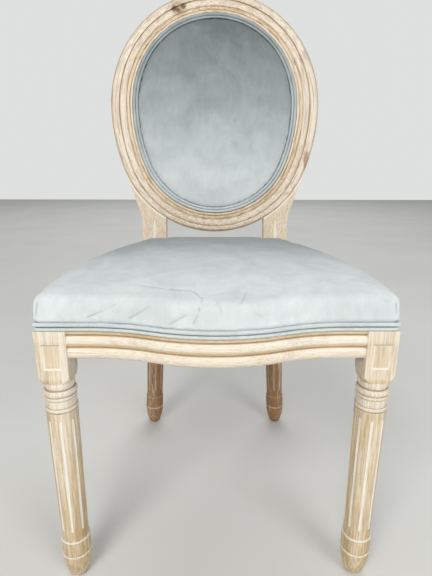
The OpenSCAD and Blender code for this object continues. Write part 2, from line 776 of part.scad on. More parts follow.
// Rim of the seat's upholstery on the wood's line. Each point has its place, the way it moves
// with the inset, the way it moves with the cloth's thickness, whether it leans with the stile and
// the height over the ledge that it stays above. The front corners get tighter with the inset
arc_steps = 4;
side_steps = 7;
corner_r = 6;
corner_tighten = 0.45;
notch_y = stile_line - soft_gap;
notch_x = rear_in - soft_gap;
notch_angle = asin((notch_y - block_w) / side_r);
over_rail = rebate_h + soft_gap;
function rim_point(x, y, nx, ny) = [x, y, nx, ny, nx, ny, 0, 0];
half_rim = concat(
    [for (i = [0 : arc_steps - 1]) let(a = bow_angle * i / arc_steps)
        rim_point(bow_r * sin(a), bow_cy - bow_r * cos(a), -sin(a), cos(a))],
    [for (i = [0 : arc_steps]) let(a = bow_angle * (1 - i / arc_steps))
        rim_point(bow_w - bow_r * sin(a), bow_r * (cos(a) - 1), -sin(a), cos(a))],
    [for (a = [0, 30, 60, 90])
        rim_point(half_w - corner_r * (1 - sin(a)), corner_r * (1 - cos(a)),
            corner_tighten * (1 - sin(a)) - 1, 1 - corner_tighten * (1 - cos(a)))],
    [for (i = [0 : side_steps - 1]) let(a = notch_angle * i / side_steps)
        rim_point(side_cx + side_r * cos(a), block_w + side_r * sin(a), -cos(a), -sin(a))],
    [[side_cx + side_r * cos(notch_angle), notch_y, -1, 0, -1, -1, 1, 0],
        [notch_x, notch_y, 0, 0, -1, -1, 1, over_rail],
        [notch_x, seat_depth - rebate_d + soft_gap, 0, 0, -1, 0, 0, over_rail],
        [notch_x, seat_depth, 0, -1, -1, -1, 0, 0],
        rim_point(notch_x * 2 / 3, seat_depth, 0, -1),
        rim_point(notch_x / 3, seat_depth, 0, -1)]);
half_count = len(half_rim);
seat_rim = concat(half_rim, [rim_point(0, seat_depth, 0, -1)],
    [for (i = [half_count - 1 : -1 : 1]) let(p = half_rim[i]) [-p[0], p[1], -p[2], p[3], -p[4], p[5], p[6], p[7]]]);
seat_mid = [0, seat_depth * 0.46];

// Profile of the seat's cover from its hem to its crown: inset from the wood's line, share of the
// way in to the middle, height above the ledge, and how the cloth's thickness moves it in and down
hem_in = rebate_d - velvet_t - 2 * soft_gap;
belly_in = 1.1;
top_in = 5.7;
rise_h = crown_h - boxing_h;
welt_h = welt_d + welt_top_d;
seat_profile = [
    [hem_in, 0, soft_gap, 1, 0], [hem_in, 0, welt_h + 1.2, 1, 0], [belly_in + 1, 0, welt_h + 5, 1, 0],
    [belly_in, 0, boxing_h * 0.66, 1, 0], [belly_in + 1.2, 0, boxing_h * 0.88, 0.9, 0.4],
    [top_in, 0.01, boxing_h, 0.6, 0.8], [top_in, 0.07, boxing_h + rise_h * 0.14, 0, 1],
    [top_in, 0.25, boxing_h + rise_h * 0.46, 0, 1], [top_in, 0.5, boxing_h + rise_h * 0.77, 0, 1],
    [top_in, 0.75, boxing_h + rise_h * 0.95, 0, 1]];
function seat_ring(row, shell) = let(t = row[1]) [
    for (p = seat_rim) let(
        raised = row[2] * (1 + rear_lift / boxing_h * (1 - t) * max(p[1], 0) / seat_depth) - row[4] * shell,
        z = max(raised, p[7] + raised * 0.05),
        x = p[0] + p[2] * row[0] + p[4] * row[3] * shell,
        y = p[1] + p[3] * row[0] + p[5] * row[3] * shell + p[6] * z * tan(back_rake))
    [x + (seat_mid[0] - x) * t, y + (seat_mid[1] - y) * t, ledge_z + z]];
function seat_crown(shell) = [seat_mid[0], seat_mid[1], ledge_z + crown_h - shell];

module seat_cover() {
    rows = len(seat_profile);
    color(velvet) skin(seat_crown(velvet_t),
        concat([for (i = [rows - 1 : -1 : 0]) seat_ring(seat_profile[i], velvet_t)],
            [for (row = seat_profile) seat_ring(row, 0)]),
        seat_crown(0));
}

web_top = rebate_h + 2 * web_t;
module seat_foam() {
    shell = velvet_t + soft_gap;
    low = [belly_in + 1, 0, web_top, 1, 0];
    color("lemonchiffon") skin([seat_mid[0], seat_mid[1], ledge_z + web_top],
        concat([seat_ring(low, shell)], [for (i = [3 : len(seat_profile) - 1]) seat_ring(seat_profile[i], shell)]),
        seat_crown(shell));
}

// Tube through rings of points, closed on itself or with flat ends
module tube(rings, closed) {
    n = len(rings[0]);
    m = len(rings);
    walls = [for (k = [0 : closed ? m - 1 : m - 2], j = [0 : n - 1])
        let(a = k * n + j, b = k * n + (j + 1) % n, c = (k + 1) % m * n + j, d = (k + 1) % m * n + (j + 1) % n)
        each [[a, c, d], [a, d, b]]];
    ends = closed ? [] : [[for (j = [0 : n - 1]) j], [for (j = [n - 1 : -1 : 0]) (m - 1) * n + j]];
    polyhedron(points = [for (r = rings) each r], faces = concat(walls, ends), convexity = 6);
}

// Outline of two cords side by side, from the groove on one side round to the groove on the other
cord_points = 5;
function cord_half(centre, d, from) = [for (k = [0 : cord_points - 1])
    let(a = from + 270 * k / (cord_points - 1)) centre + d / 2 * [cos(a), sin(a)]];
function double_cord(first, first_d, second, second_d, from) =
    concat(cord_half(first, first_d, from), cord_half(second, second_d, from + 180));

// Double welt on the ledge, the thicker cord above: inset from the wood's line and height
welt_back = hem_in - 0.6;
ledge_welt = double_cord([welt_back - welt_d / 2, ledge_z + 0.1 + welt_d / 2], welt_d,
    [welt_back - welt_top_d / 2, ledge_z + welt_d + welt_top_d / 2], welt_top_d, 135);
notch_index = 2 * arc_steps + 5 + side_steps;
function welt_at(p) = [for (q = ledge_welt) [p[0] + p[2] * q[0], p[1] + p[3] * q[0], q[1]]];
module seat_welt() {
    run = concat([for (k = [notch_index : -1 : 1]) seat_rim[len(seat_rim) - k]],
        [for (k = [0 : notch_index]) seat_rim[k]]);
    color(velvet) {
        tube([for (p = run) welt_at(p)], false);
        translate([-notch_x, seat_depth, 0]) rotate([90, 0, 90])
            linear_extrude(2 * notch_x) mirror([1, 0]) polygon(ledge_welt);
    }
}

// Webbing: straps across, then straps from front to back whose ends step down to the rails
across_y = [90, 175, 260, 345];
lengthwise_x = [-80, 0, 80];
web_in = rebate_d + 2;
module strap_part(level, from, to) {
    translate([0, 0, rail_top + level * web_t]) linear_extrude(web_t) intersection() {
        seat_plan(web_in);
        for (x = lengthwise_x)
            translate([x - web_w / 2, from]) square([web_w, to - from]);
    }
}
module seat_webbing() {
    front_step = rail_back + 6;
    rear_step = seat_depth - rail_back - 6;
    color("peru") {
        translate([0, 0, rail_top]) linear_extrude(web_t) intersection() {
            seat_plan(web_in);
            for (y = across_y)
                translate([-half_w, y - web_w / 2]) square([seat_w, web_w]);
        }
        strap_part(0, -bow_d, front_step);
        strap_part(1, front_step - 2, rear_step + 2);
        strap_part(0, rear_step, seat_depth);
    }
}

module dust_cover() {
    notch = 1;
    color("dimgray") translate([0, 0, rail_bottom - dust_t]) linear_extrude(dust_t) difference() {
        seat_plan(8);
        for (side = [0, 1]) mirror([side, 0]) {
            translate([half_w - block_w - notch, -notch]) square([block_w + 2, block_w + 2 * notch]);
            translate([rear_in - notch, rear_y - notch]) square([rear_block_w + 20, rear_block_d + 2]);
        }
    }
}

// Inside and outside of the back
board_points = 120;
module back_board() {
    color("burlywood") on_back() translate([0, 0, back_floor]) linear_extrude(board_t)
        polygon([for (k = [0 : board_points - 1]) oval_point(opening, k * 360 / board_points - 180 + eps, soft_gap)]);
}

// Profile of the back's cover: inset, height over the stiles' face, and how the cloth's
// thickness moves it in and down
oval_points = 48;
flange_z = back_floor + board_t + velvet_t + 0.1;
flange_in = 1.2;
dome_in = soft_gap + welt_top_d + welt_d + 0.6;
dome_top = oval_proud + dome_h;
dome_rise = dome_top - flange_z;
back_profile = [
    [flange_in, flange_z, 0, 1], [dome_in, flange_z, 0, 1], [dome_in + 1, flange_z + dome_rise * 0.2, 1, 0.2],
    [dome_in + 4, flange_z + dome_rise * 0.38, 1, 0.6], [dome_in + 12, flange_z + dome_rise * 0.55, 0.6, 0.8],
    [dome_in + 32, flange_z + dome_rise * 0.75, 0.2, 1], [dome_in + 68, flange_z + dome_rise * 0.91, 0, 1],
    [dome_in + 112, flange_z + dome_rise * 0.98, 0, 1]];
function back_ring(row, shell) = [
    for (k = [0 : oval_points - 1]) let(p = oval_point(opening, k * 360 / oval_points - 180 + eps,
        row[0] + row[2] * shell)) [p[0], p[1], row[1] - row[3] * shell]];
back_mid = (open_top + open_foot) / 2;

module back_cover() {
    rows = len(back_profile);
    color(velvet) on_back() skin([0, back_mid, dome_top - velvet_t],
        concat([for (i = [rows - 1 : -1 : 0]) back_ring(back_profile[i], velvet_t)],
            [for (row = back_profile) back_ring(row, 0)]),
        [0, back_mid, dome_top]);
}

module back_foam() {
    shell = velvet_t + soft_gap;
    low = [dome_in + 1, back_floor + board_t + 0.1, 1, 0];
    color("lemonchiffon") on_back() skin([0, back_mid, low[1]],
        concat([back_ring(low, shell)], [for (i = [2 : len(back_profile) - 1]) back_ring(back_profile[i], shell)]),
        [0, back_mid, dome_top - shell]);
}

// Double welt of the back, lying flat in a rebate with one cord inside the other: inset from the
// opening's line and height over the rebate's cloth
welt_stations = 52;
flat_welt = double_cord([soft_gap + welt_top_d / 2, welt_top_d / 2], welt_top_d,
    [soft_gap + welt_top_d + welt_d / 2 - 0.1, welt_d / 2], welt_d, 45);
module oval_welt() {
    tube([for (k = [0 : welt_stations - 1]) let(a = k * 360 / welt_stations - 180 + eps)
        [for (q = flat_welt) let(p = oval_point(opening, a, q[0])) [p[0], p[1], q[1]]]], true);
}
module back_welt() {
    color(velvet) on_back() translate([0, 0, flange_z + 0.1]) oval_welt();
}

outside_z = rear_floor - velvet_t - 0.1;
outside_profile = [
    [dome_in + 100, -rear_dome_h * 0.95], [dome_in + 50, -rear_dome_h * 0.75],
    [dome_in + 20, -rear_dome_h * 0.42], [dome_in, 0], [flange_in, 0]];
function outside_ring(row, shell) = [
    for (p = back_ring([row[0], outside_z + row[1], 0, 0], 0)) [p[0], p[1], p[2] + shell]];
module outside_back_cover() {
    rows = len(outside_profile);
    color(velvet) on_back() skin([0, back_mid, outside_z - rear_dome_h],
        concat([for (row = outside_profile) outside_ring(row, 0)],
            [for (i = [rows - 1 : -1 : 0]) outside_ring(outside_profile[i], velvet_t)]),
        [0, back_mid, outside_z - rear_dome_h + velvet_t]);
}

module outside_back_welt() {
    color(velvet) on_back() translate([0, 0, outside_z - 0.1]) mirror([0, 0, 1]) oval_welt();
}

module corner_screws() {
    color("silver") both_sides() {
        at_front_screws() screw();
        at_rear_screws() screw();
    }
}

frame() mirror([1, 0, 0]) front_leg();  // front_leg_left
frame() front_leg();  // front_leg_right
frame() mirror([1, 0, 0]) rear_leg();  // rear_leg_left
frame() rear_leg();  // rear_leg_right
frame() front_rail();
frame() mirror([1, 0, 0]) side_rail();  // side_rail_left
frame() side_rail();  // side_rail_right
frame() rear_rail();
frame() crest_arc();
frame() mirror([1, 0, 0]) oval_side();  // oval_side_left
frame() oval_side();  // oval_side_right
frame() lower_arc();
frame() oval_dowels();
frame() stile_dowels();
frame() mirror([1, 0, 0]) corner_block_front();  // corner_block_front_left
frame() corner_block_front();  // corner_block_front_right
frame() mirror([1, 0, 0]) corner_block_rear();  // corner_block_rear_left
frame() corner_block_rear();  // corner_block_rear_right
frame() corner_screws();
frame() translate([-leg_x, leg_y, 0]) glide();  // glide_front_left
frame() translate([leg_x, leg_y, 0]) glide();  // glide_front_right
frame() translate([-rear_foot_x, rear_foot_y, 0]) glide();  // glide_rear_left
frame() translate([rear_foot_x, rear_foot_y, 0]) glide();  // glide_rear_right
frame() seat_webbing();
frame() seat_foam();
frame() seat_cover();
frame() seat_welt();
frame() dust_cover();
frame() back_board();
frame() back_foam();
frame() back_cover();
frame() back_welt();
frame() outside_back_cover();
frame() outside_back_welt();
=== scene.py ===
# Side chair with an oval back: limed beech frame, grey velvet seat and back, double piping.
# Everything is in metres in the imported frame, with the chair's front towards -Y.
import math

import bmesh
import bpy
import numpy as np
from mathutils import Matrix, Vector
from mathutils.bvhtree import BVHTree


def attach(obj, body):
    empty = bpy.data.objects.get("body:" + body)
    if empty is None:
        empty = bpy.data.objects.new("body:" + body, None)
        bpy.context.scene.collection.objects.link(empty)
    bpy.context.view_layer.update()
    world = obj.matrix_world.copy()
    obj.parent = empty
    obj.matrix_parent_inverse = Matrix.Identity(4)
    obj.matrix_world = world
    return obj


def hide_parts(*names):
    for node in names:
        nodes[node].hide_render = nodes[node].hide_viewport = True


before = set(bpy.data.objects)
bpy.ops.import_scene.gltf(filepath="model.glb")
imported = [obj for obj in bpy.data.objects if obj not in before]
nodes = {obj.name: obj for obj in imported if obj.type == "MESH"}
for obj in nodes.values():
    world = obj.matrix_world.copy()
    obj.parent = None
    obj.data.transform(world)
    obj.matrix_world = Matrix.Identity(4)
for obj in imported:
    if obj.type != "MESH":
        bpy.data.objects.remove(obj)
scene = bpy.context.scene
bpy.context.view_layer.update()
print("frame loaded, nodes:", len(nodes))

# Plan of the seat frame and place of the back, in mm from the front of the leg blocks
plan = dict(halfWidth=245.0, depth=465.0, block=42.0, bow=31.0, bowWidth=174.0, corner=6.0, tighten=0.45,
            sideRadius=945.74, sideCentre=-700.74, ledge=424.0, centreY=273.78,
            stileLine=438.3, stileInner=111.5, notchTurn=6.0, softGap=0.4)
back = dict(y=443.4, z=450.0, rake=math.radians(11.1), middle=303.5)
opening = dict(half=184.0, widest=326.0, top=522.0, foot=85.0, crestAngle=30.0, lowerAngle=22.0)
rakeCos, rakeSin = math.cos(back["rake"]), math.sin(back["rake"])


def linearColour(code):
    parts = [int(code[i:i + 2], 16) / 255 for i in (1, 3, 5)]
    return tuple(c / 12.92 if c <= 0.04045 else ((c + 0.055) / 1.055) ** 2.4 for c in parts) + (1.0,)


def setNode(node, values):
    # another node's socket is linked, and any other value sets a property or a socket's constant
    for key, value in values.items():
        if isinstance(value, bpy.types.NodeSocket):
            node.id_data.links.new(value, node.inputs[key])
        elif key == "stops":
            ramp = node.color_ramp.elements
            while len(ramp) < len(value):
                ramp.new(0.5)
            for stop, (position, code) in zip(ramp, value):
                stop.position = position
                stop.color = linearColour(code)
        elif isinstance(key, str) and hasattr(node, key):
            setattr(node, key, value)
        else:
            node.inputs[key].default_value = value


def addNode(tree, kind, *given, out=0):
    # kind may end in an operation, and an operation alone is a Math node's. What is given goes to the
    # inputs in order, except for a dictionary, which names what it sets.
    kind, _, operation = ("Math " + kind if kind.isupper() else kind).partition(" ")
    node = tree.nodes.new(kind if "Node" in kind else "ShaderNode" + kind)
    if operation:
        node.operation = operation
    for index, value in enumerate(given):
        setNode(node, value if isinstance(value, dict) else {index: value})
    return node.outputs if out is None or not node.outputs else node.outputs[out]


def newMaterial(name):
    material = bpy.data.materials.new(name)
    material.use_nodes = True
    tree = material.node_tree
    tree.nodes.clear()
    surface = tree.nodes.new("ShaderNodeBsdfPrincipled")
    addNode(tree, "OutputMaterial", surface.outputs[0])
    return material, tree, surface, addNode(tree, "TexCoord", out="Object")


def band(tree, value, low, high, soft):
    # 1 between low and high, falling to 0 over soft on both sides
    half = (high - low) / 2
    away = addNode(tree, "ABSOLUTE", addNode(tree, "SUBTRACT", value, (low + high) / 2))
    return addNode(tree, "MapRange", away, half + soft, half, 0.0, 1.0, {"interpolation_type": "SMOOTHSTEP"})


def combined(tree, operation, *masks):
    result = masks[0]
    for mask in masks[1:]:
        result = addNode(tree, operation, result, mask)
    return result


def distance(tree, a, b):
    square = addNode(tree, "MULTIPLY_ADD", a, a, addNode(tree, "MULTIPLY", b, b))
    return addNode(tree, "SQRT", square)


def tint(tree, base, code, mask, amount):
    factor = addNode(tree, "MULTIPLY", mask, amount)
    return addNode(tree, "Mix", {"data_type": "RGBA", 0: factor, 6: base, 7: linearColour(code)}, out=2)


# Limed beech: wood bleached by white lime wax. The pores and hollows hold the lime as pale streaks,
# the raised flats are rubbed back to the tan wood, and the finish is a dull satin. Each pattern is
# squeezed along the grain, and its scale is one over its size in metres; the rings are 35 mm apart.
# The lime colour also serves as painted highlight, and the rim colour is painted shade on the oval's outer
# edge.
wood = dict(pale="#EEDFC6", limeAndHighlight="#FDF8EE", brown="#AB8A62", groove="#957349", warm="#DDBE90", rim="#E2C8A6",
            knot="#4A3420", roughness=0.52, fibreShare=0.55, stops=(0.24, 0.42, 0.58, 0.78),
            # The rear tones are darker and browner than the front ones: partly the wood's own tone and partly
            # painted shade of the seat over the lower rear legs.
            tones=dict(front=("#D9C095", "#EEDFC6"), oval=("#E6D5B8", "#F4EAD8"),
                       rear=("#93663C", "#B3875A")),
            patterns=dict(
                figure=(0.18, "TexNoise", {"Scale": 1 / 0.045, "Detail": 3.0, "Roughness": 0.55}),
                fibre=(1 / 26, "TexNoise", {"Scale": 1 / 0.0016, "Detail": 4.0, "Roughness": 0.6,
                                            "Distortion": 0.3}),
                fleck=(1 / 7, "TexNoise", {"Scale": 1 / 0.0009, "Detail": 1.0}),
                rings=(0.22, "TexWave", {"wave_type": "BANDS", "bands_direction": "Y", "Scale": 9.0,
                                         "Distortion": 7.0, "Detail": 3.0, "Detail Scale": 0.8}),
                streak=(1 / 26, "TexNoise", {"Scale": 1 / 0.0038, "Detail": 3.0, "Roughness": 0.6})))
ovalGrain = dict(level=0.770, squeeze=0.908, uneven=0.069, girth=0.24, skew=0.3)


def heightOverBack(tree, place):
    # how far a point stands out from the face of the stiles, along the back's own normal
    foot = (0, (back["y"] - plan["centreY"]) / 1000, back["z"] / 1000)
    moved = addNode(tree, "VectorMath SUBTRACT", place, foot)
    return addNode(tree, "VectorMath DOT_PRODUCT", moved, (0, -rakeCos, rakeSin), out="Value")


def roundTheOval(tree, place):
    # coordinates that run round the oval: along it, across it and out of the back
    x, y, z = addNode(tree, "SeparateXYZ", place, out=None)
    wide = addNode(tree, "ABSOLUTE", x)
    up = addNode(tree, "SUBTRACT", z, ovalGrain["level"])
    uneven = addNode(tree, "MULTIPLY", addNode(tree, "ABSOLUTE", up), ovalGrain["uneven"])
    level = addNode(tree, "MULTIPLY_ADD", up, ovalGrain["squeeze"], uneven)
    along = addNode(tree, "MULTIPLY", addNode(tree, "ARCTAN2", level, wide), ovalGrain["girth"])
    outwards = addNode(tree, "MULTIPLY_ADD", x, ovalGrain["skew"], heightOverBack(tree, place))
    return addNode(tree, "CombineXYZ", along, distance(tree, wide, level), outwards)


def limedBeech(name, grain, accents, tone="front", seed=0.0, contrast=1.3, streaks=0.25):
    # grain turns the piece's own axes so that the fibres run along X, or is None where they follow the oval
    material, tree, surface, place = newMaterial(name)
    turned = addNode(tree, "Mapping", place if grain else roundTheOval(tree, place),
                     (seed, seed * 0.37, seed * 0.61), grain or (0, 0, 0))
    drawn = {}
    for key, (squeeze, kind, settings) in wood["patterns"].items():
        squeezed = addNode(tree, "Mapping", turned, {"Scale": (squeeze, 1, 1)})
        drawn[key] = addNode(tree, kind, squeezed, settings, out="Fac")
    fibre, share = drawn["fibre"], wood["fibreShare"]
    figure = addNode(tree, "MULTIPLY", drawn["figure"], 1 - share)
    mixed = addNode(tree, "MULTIPLY_ADD", fibre, share, figure)
    mixed = addNode(tree, "MULTIPLY_ADD", addNode(tree, "SUBTRACT", mixed, 0.5), contrast, 0.5)
    codes = (wood["brown"], *wood["tones"][tone], wood["limeAndHighlight"])
    colour = addNode(tree, "ValToRGB", mixed, {"stops": list(zip(wood["stops"], codes))})
    for key, code, amount, *edges in (("rings", "brown", 0.22, 0.0, 0.03, 0.16),
                                      ("fleck", "brown", 0.3, 0.0, 0.33, 0.05),
                                      ("streak", "groove", streaks, 0.60, 1.2, 0.11)):
        colour = tint(tree, colour, wood[code], band(tree, drawn[key], *edges), amount)
    # The accents are thinned along the fibres, the worn lime and the painted shade and highlight alike.
    fibreBreakup = addNode(tree, "MapRange", fibre, 0.38, 0.58, 0.62, 1.0)  # the accents wear thin along the fibres
    for code, amount, build in accents:
        mask = addNode(tree, "MULTIPLY", build(tree, place), fibreBreakup)
        colour = tint(tree, colour, wood[code], mask, amount)
    height = addNode(tree, "MULTIPLY_ADD", drawn["fleck"], 0.3, fibre)
    shine = addNode(tree, "MapRange", fibre, 0.0, 1.0, wood["roughness"] - 0.08, wood["roughness"] + 0.14)
    bump = addNode(tree, "Bump", {"Strength": 0.22, "Distance": 0.0004, "Height": height})
    setNode(surface, {"Base Color": colour, "Normal": bump, "Roughness": shine, "IOR": 1.5})
    return material


def axes(tree, place):
    x, y, z = addNode(tree, "SeparateXYZ", place, out=None)
    return addNode(tree, "ABSOLUTE", x), y, z


# The turned legs and their flutes, the panels of the blocks, the stiles' own flutes and the oval's edge
frontLeg = dict(x=0.224, y=-0.25278, top=0.3475, splay=0.0, rake=0.0)
rearLeg = dict(x=0.1384, y=0.16972, top=0.3475, splay=math.tan(math.radians(3)),
               rake=math.tan(math.radians(2)))
turning = dict(flutes=8, turn=-9.5, half=0.0016, foot=0.0957, top=0.2863)
panel = dict(x=0.224, y=-0.25278, z=0.38575, halfWidth=0.0125, halfHeight=0.0185, face=0.021)
stileFlute = dict(x=0.1384, half=0.0038, foot=0.462, top=0.524, narrowFrom=0.496, narrowing=0.13,
                  floor=-0.0030)
ovalEdge = dict(middle=0.2642, inner=0.2190, outer=0.2232)


def inFlutes(leg):
    # the lime fills the gouged flutes of both legs of the pair and spills a little over their edges
    def build(tree, place):
        x, y, z = axes(tree, place)
        down = addNode(tree, "SUBTRACT", leg["top"], z)
        across, along = [addNode(tree, "SUBTRACT", addNode(tree, "SUBTRACT", value, leg[axis]),
                                 addNode(tree, "MULTIPLY", down, leg[slant]))
                         for value, axis, slant in ((x, "x", "splay"), (y, "y", "rake"))]
        step = 2 * math.pi / turning["flutes"]
        angle = addNode(tree, "ARCTAN2", along, across)
        turned = addNode(tree, "SUBTRACT", angle, math.radians(turning["turn"]))
        away = addNode(tree, "MULTIPLY", addNode(tree, "WRAP", turned, step / 2, -step / 2),
                       distance(tree, across, along))
        return addNode(tree, "MULTIPLY", band(tree, away, -turning["half"], turning["half"], 0.0004),
                       band(tree, z, turning["foot"], turning["top"], 0.0025))
    return build


def atHeights(bands, soft):
    def build(tree, place):
        z = axes(tree, place)[2]
        return combined(tree, "MAXIMUM", *[band(tree, z, low, high, soft) for low, high in bands])
    return build


def roundPanel(low, high, soft, shadowAbove=False):
    # distances from the edge of the sunk panels, on the front and on the outer faces of the blocks, or else
    # the strip just over their top edge, which takes a painted shadow
    def build(tree, place):
        x, y, z = axes(tree, place)
        rise = addNode(tree, "SUBTRACT", z, panel["z"])
        up = addNode(tree, "SUBTRACT", addNode(tree, "ABSOLUTE", rise), panel["halfHeight"])
        acrossX = addNode(tree, "SUBTRACT", x, panel["x"])
        acrossY = addNode(tree, "SUBTRACT", y, panel["y"])
        lines = []
        ahead = addNode(tree, "MULTIPLY", acrossY, -1.0)
        for across, outwards in ((acrossX, ahead), (acrossY, acrossX)):
            side = addNode(tree, "SUBTRACT", addNode(tree, "ABSOLUTE", across), panel["halfWidth"])
            if shadowAbove:
                edge = addNode(tree, "MULTIPLY", band(tree, side, -0.05, 0.0, soft),
                               band(tree, rise, panel["halfHeight"] + low, panel["halfHeight"] + high, soft))
            else:
                edge = band(tree, addNode(tree, "MAXIMUM", side, up), low, high, soft)
            onFace = band(tree, outwards, panel["face"] - 0.002, panel["face"] + 0.002, 0.0003)
            lines.append(addNode(tree, "MULTIPLY", edge, onFace))
        return combined(tree, "MAXIMUM", *lines)
    return build


def overBack(low, high, soft):
    return lambda tree, place: band(tree, heightOverBack(tree, place), low, high, soft)


def stoppedFlute(tree, place):
    # the short gouged flute on the face of each stile, narrowing to its upper end
    x, y, z = axes(tree, place)
    over = addNode(tree, "MAXIMUM", addNode(tree, "SUBTRACT", z, stileFlute["narrowFrom"]), 0.0)
    aside = addNode(tree, "ABSOLUTE", addNode(tree, "SUBTRACT", x, stileFlute["x"]))
    away = addNode(tree, "MULTIPLY_ADD", over, stileFlute["narrowing"], aside)
    return combined(tree, "MULTIPLY", band(tree, away, -0.01, stileFlute["half"], 0.0006),
                    band(tree, heightOverBack(tree, place), stileFlute["floor"], -0.0002, 0.0003),
                    band(tree, z, stileFlute["foot"], stileFlute["top"], 0.002))


def byTheOval(tree, place):
    # the light line where a stile runs up to the oval
    x, y, z = axes(tree, place)
    rise = addNode(tree, "SUBTRACT", z, back["z"] / 1000 + ovalEdge["middle"] * rakeCos)
    reach = distance(tree, x, addNode(tree, "DIVIDE", rise, rakeCos))
    return addNode(tree, "MULTIPLY", band(tree, reach, ovalEdge["inner"], ovalEdge["outer"], 0.0012),
                   band(tree, heightOverBack(tree, place), -0.004, 0.004, 0.001))


def knot(place, size, stretch=1.0):
    # a small dark knot, or a streak where it is stretched along Z
    def build(tree, at):
        moved = addNode(tree, "VectorMath SUBTRACT", at, place)
        shaped = addNode(tree, "VectorMath MULTIPLY", moved, (1, 1, 1 / stretch))
        far = addNode(tree, "VectorMath LENGTH", shaped, out="Value")
        rough = addNode(tree, "TexNoise", at, {"Scale": 420.0, "Detail": 2.0})
        return band(tree, addNode(tree, "MULTIPLY_ADD", rough, size, far), -1.0, size, size * 0.6)
    return build


# Each accent is a colour of the wood, its amount and where it lies
# On the oval the rim tone over its outer side and rounding, and the brown line at the foot of that rounding,
# are painted shade.
ovalAccents = [("rim", 0.6, overBack(-0.010, 0.0022, 0.0030)),
               ("brown", 0.6, overBack(0.0003, 0.0012, 0.0008)),
               ("limeAndHighlight", 0.5, overBack(0.0030, 0.0034, 0.0006))]
crestMarks = [("brown", 0.7, knot((-0.0800, 0.268, 0.9700), 0.020)),
              ("knot", 0.95, knot((-0.0890, 0.268, 0.9700), 0.0085)),
              ("knot", 0.9, knot((-0.0800, 0.266, 0.9665), 0.0062)),
              ("knot", 0.85, knot((-0.0700, 0.270, 0.9750), 0.0075))]
sideMarks = [("brown", 0.95, knot((0.2072, 0.206, 0.6500), 0.0085, 3.5))]
ringLines = [(0.0446, 0.0472), (0.0734, 0.0754)]
ringShades = [(0.0476, 0.0484), (0.0722, 0.0730), (0.3004, 0.3009), (0.3070, 0.3076), (0.3187, 0.3192),
              (0.3242, 0.3247), (0.3342, 0.3348)]
# On the rails the lime on the upper halves of the band and the torus is partly lime and partly painted
# highlight, the tan on their lower halves is painted shade, and the dark lines in the quirks are painted
# shade.
railAccents = [("limeAndHighlight", 0.62, atHeights([(0.3870, 0.3965), (0.4085, 0.4150)], 0.0045)),
               ("warm", 0.45, atHeights([(0.4006, 0.4046), (0.4184, 0.4208)], 0.0026)),
               ("groove", 0.8, atHeights([(0.3991, 0.4006), (0.4168, 0.4183)], 0.0009))]
# On the front legs the lime over the block, 0.356 to 0.424 m up, is painted highlight that makes the block
# brighter than the leg, and the dark line just over each sunk panel is painted shadow.
frontLegAccents = [
    ("limeAndHighlight", 0.55, atHeights([(0.3015, 0.3440)], 0.004)), ("limeAndHighlight", 0.42, atHeights([(0.356, 0.424)], 0.008)),
    ("limeAndHighlight", 0.3, atHeights([(0.412, 0.424)], 0.006)), ("limeAndHighlight", 1.0, inFlutes(frontLeg)),
    ("limeAndHighlight", 0.85, atHeights(ringLines, 0.001)), ("groove", 0.7, atHeights(ringShades, 0.0005)),
    ("warm", 0.3, roundPanel(-0.05, -0.003, 0.001)), ("limeAndHighlight", 0.65, roundPanel(-0.0023, -0.0009, 0.0006)),
    ("groove", 0.75, roundPanel(-0.0001, 0.0007, 0.0003, shadowAbove=True))]
# The rear legs' painted shade is taken back above the seat: the pale tone covers the stiles from 0.44 m up, so
# only the legs under the seat stay dark.
rearLegAccents = [
    ("pale", 0.97, atHeights([(0.44, 1.2)], 0.04)), ("limeAndHighlight", 0.8, stoppedFlute), ("limeAndHighlight", 0.8, byTheOval),
    ("limeAndHighlight", 0.38, inFlutes(rearLeg)), ("limeAndHighlight", 0.5, atHeights(ringLines[:1], 0.001)),
    ("limeAndHighlight", 0.2, atHeights(ringLines[1:], 0.002)), ("groove", 0.6, atHeights(ringShades, 0.0005))]
upright, sideways, along = (0, math.pi / 2, 0), (0, 0, 0), (0, 0, math.pi / 2)
railLook = dict(contrast=1.0, streaks=0.12)
ovalLook = dict(tone="oval", seed=5.2, contrast=2.1, streaks=0.95)
for name, grain, accents, look, nodeNames in (
        ("FrontLegs", upright, frontLegAccents, dict(seed=1.3), ("front_leg_left", "front_leg_right")),
        ("RearLegs", upright, rearLegAccents, dict(tone="rear", seed=2.1, contrast=1.8, streaks=0.4),
         ("rear_leg_left", "rear_leg_right")),
        ("FrontRail", sideways, railAccents, dict(seed=3.7, **railLook), ("front_rail", "rear_rail")),
        ("SideRails", along, railAccents, dict(seed=4.9, **railLook), ("side_rail_left", "side_rail_right")),
        ("Crest", None, ovalAccents + crestMarks, ovalLook, ("crest_arc",)),
        ("OvalSides", None, ovalAccents + sideMarks, ovalLook, ("oval_side_left", "oval_side_right")),
        ("OvalFoot", None, ovalAccents, ovalLook, ("lower_arc",))):
    material = limedBeech("limedBeech" + name, grain, accents, **look)
    for nodeName in nodeNames:
        nodes[nodeName].material_slots[0].material = material
print("wood finished")


def plainMaterial(name, pattern, stops, roughness, bump=None, metallic=0.0):
    # one pattern gives the colour and the relief, and the roughness too where that is a range
    material, tree, surface, place = newMaterial(name)
    shade, height = pattern(tree, place)
    if isinstance(roughness, tuple):
        roughness = addNode(tree, "MapRange", shade, 0.0, 1.0, *roughness)
    colour = addNode(tree, "ValToRGB", shade, {"stops": stops})
    setNode(surface, {"Base Color": colour, "Roughness": roughness, "Metallic": metallic})
    if bump:
        relief = addNode(tree, "Bump", {"Strength": bump[0], "Distance": bump[1], "Height": height})
        setNode(surface, {"Normal": relief})
    return material


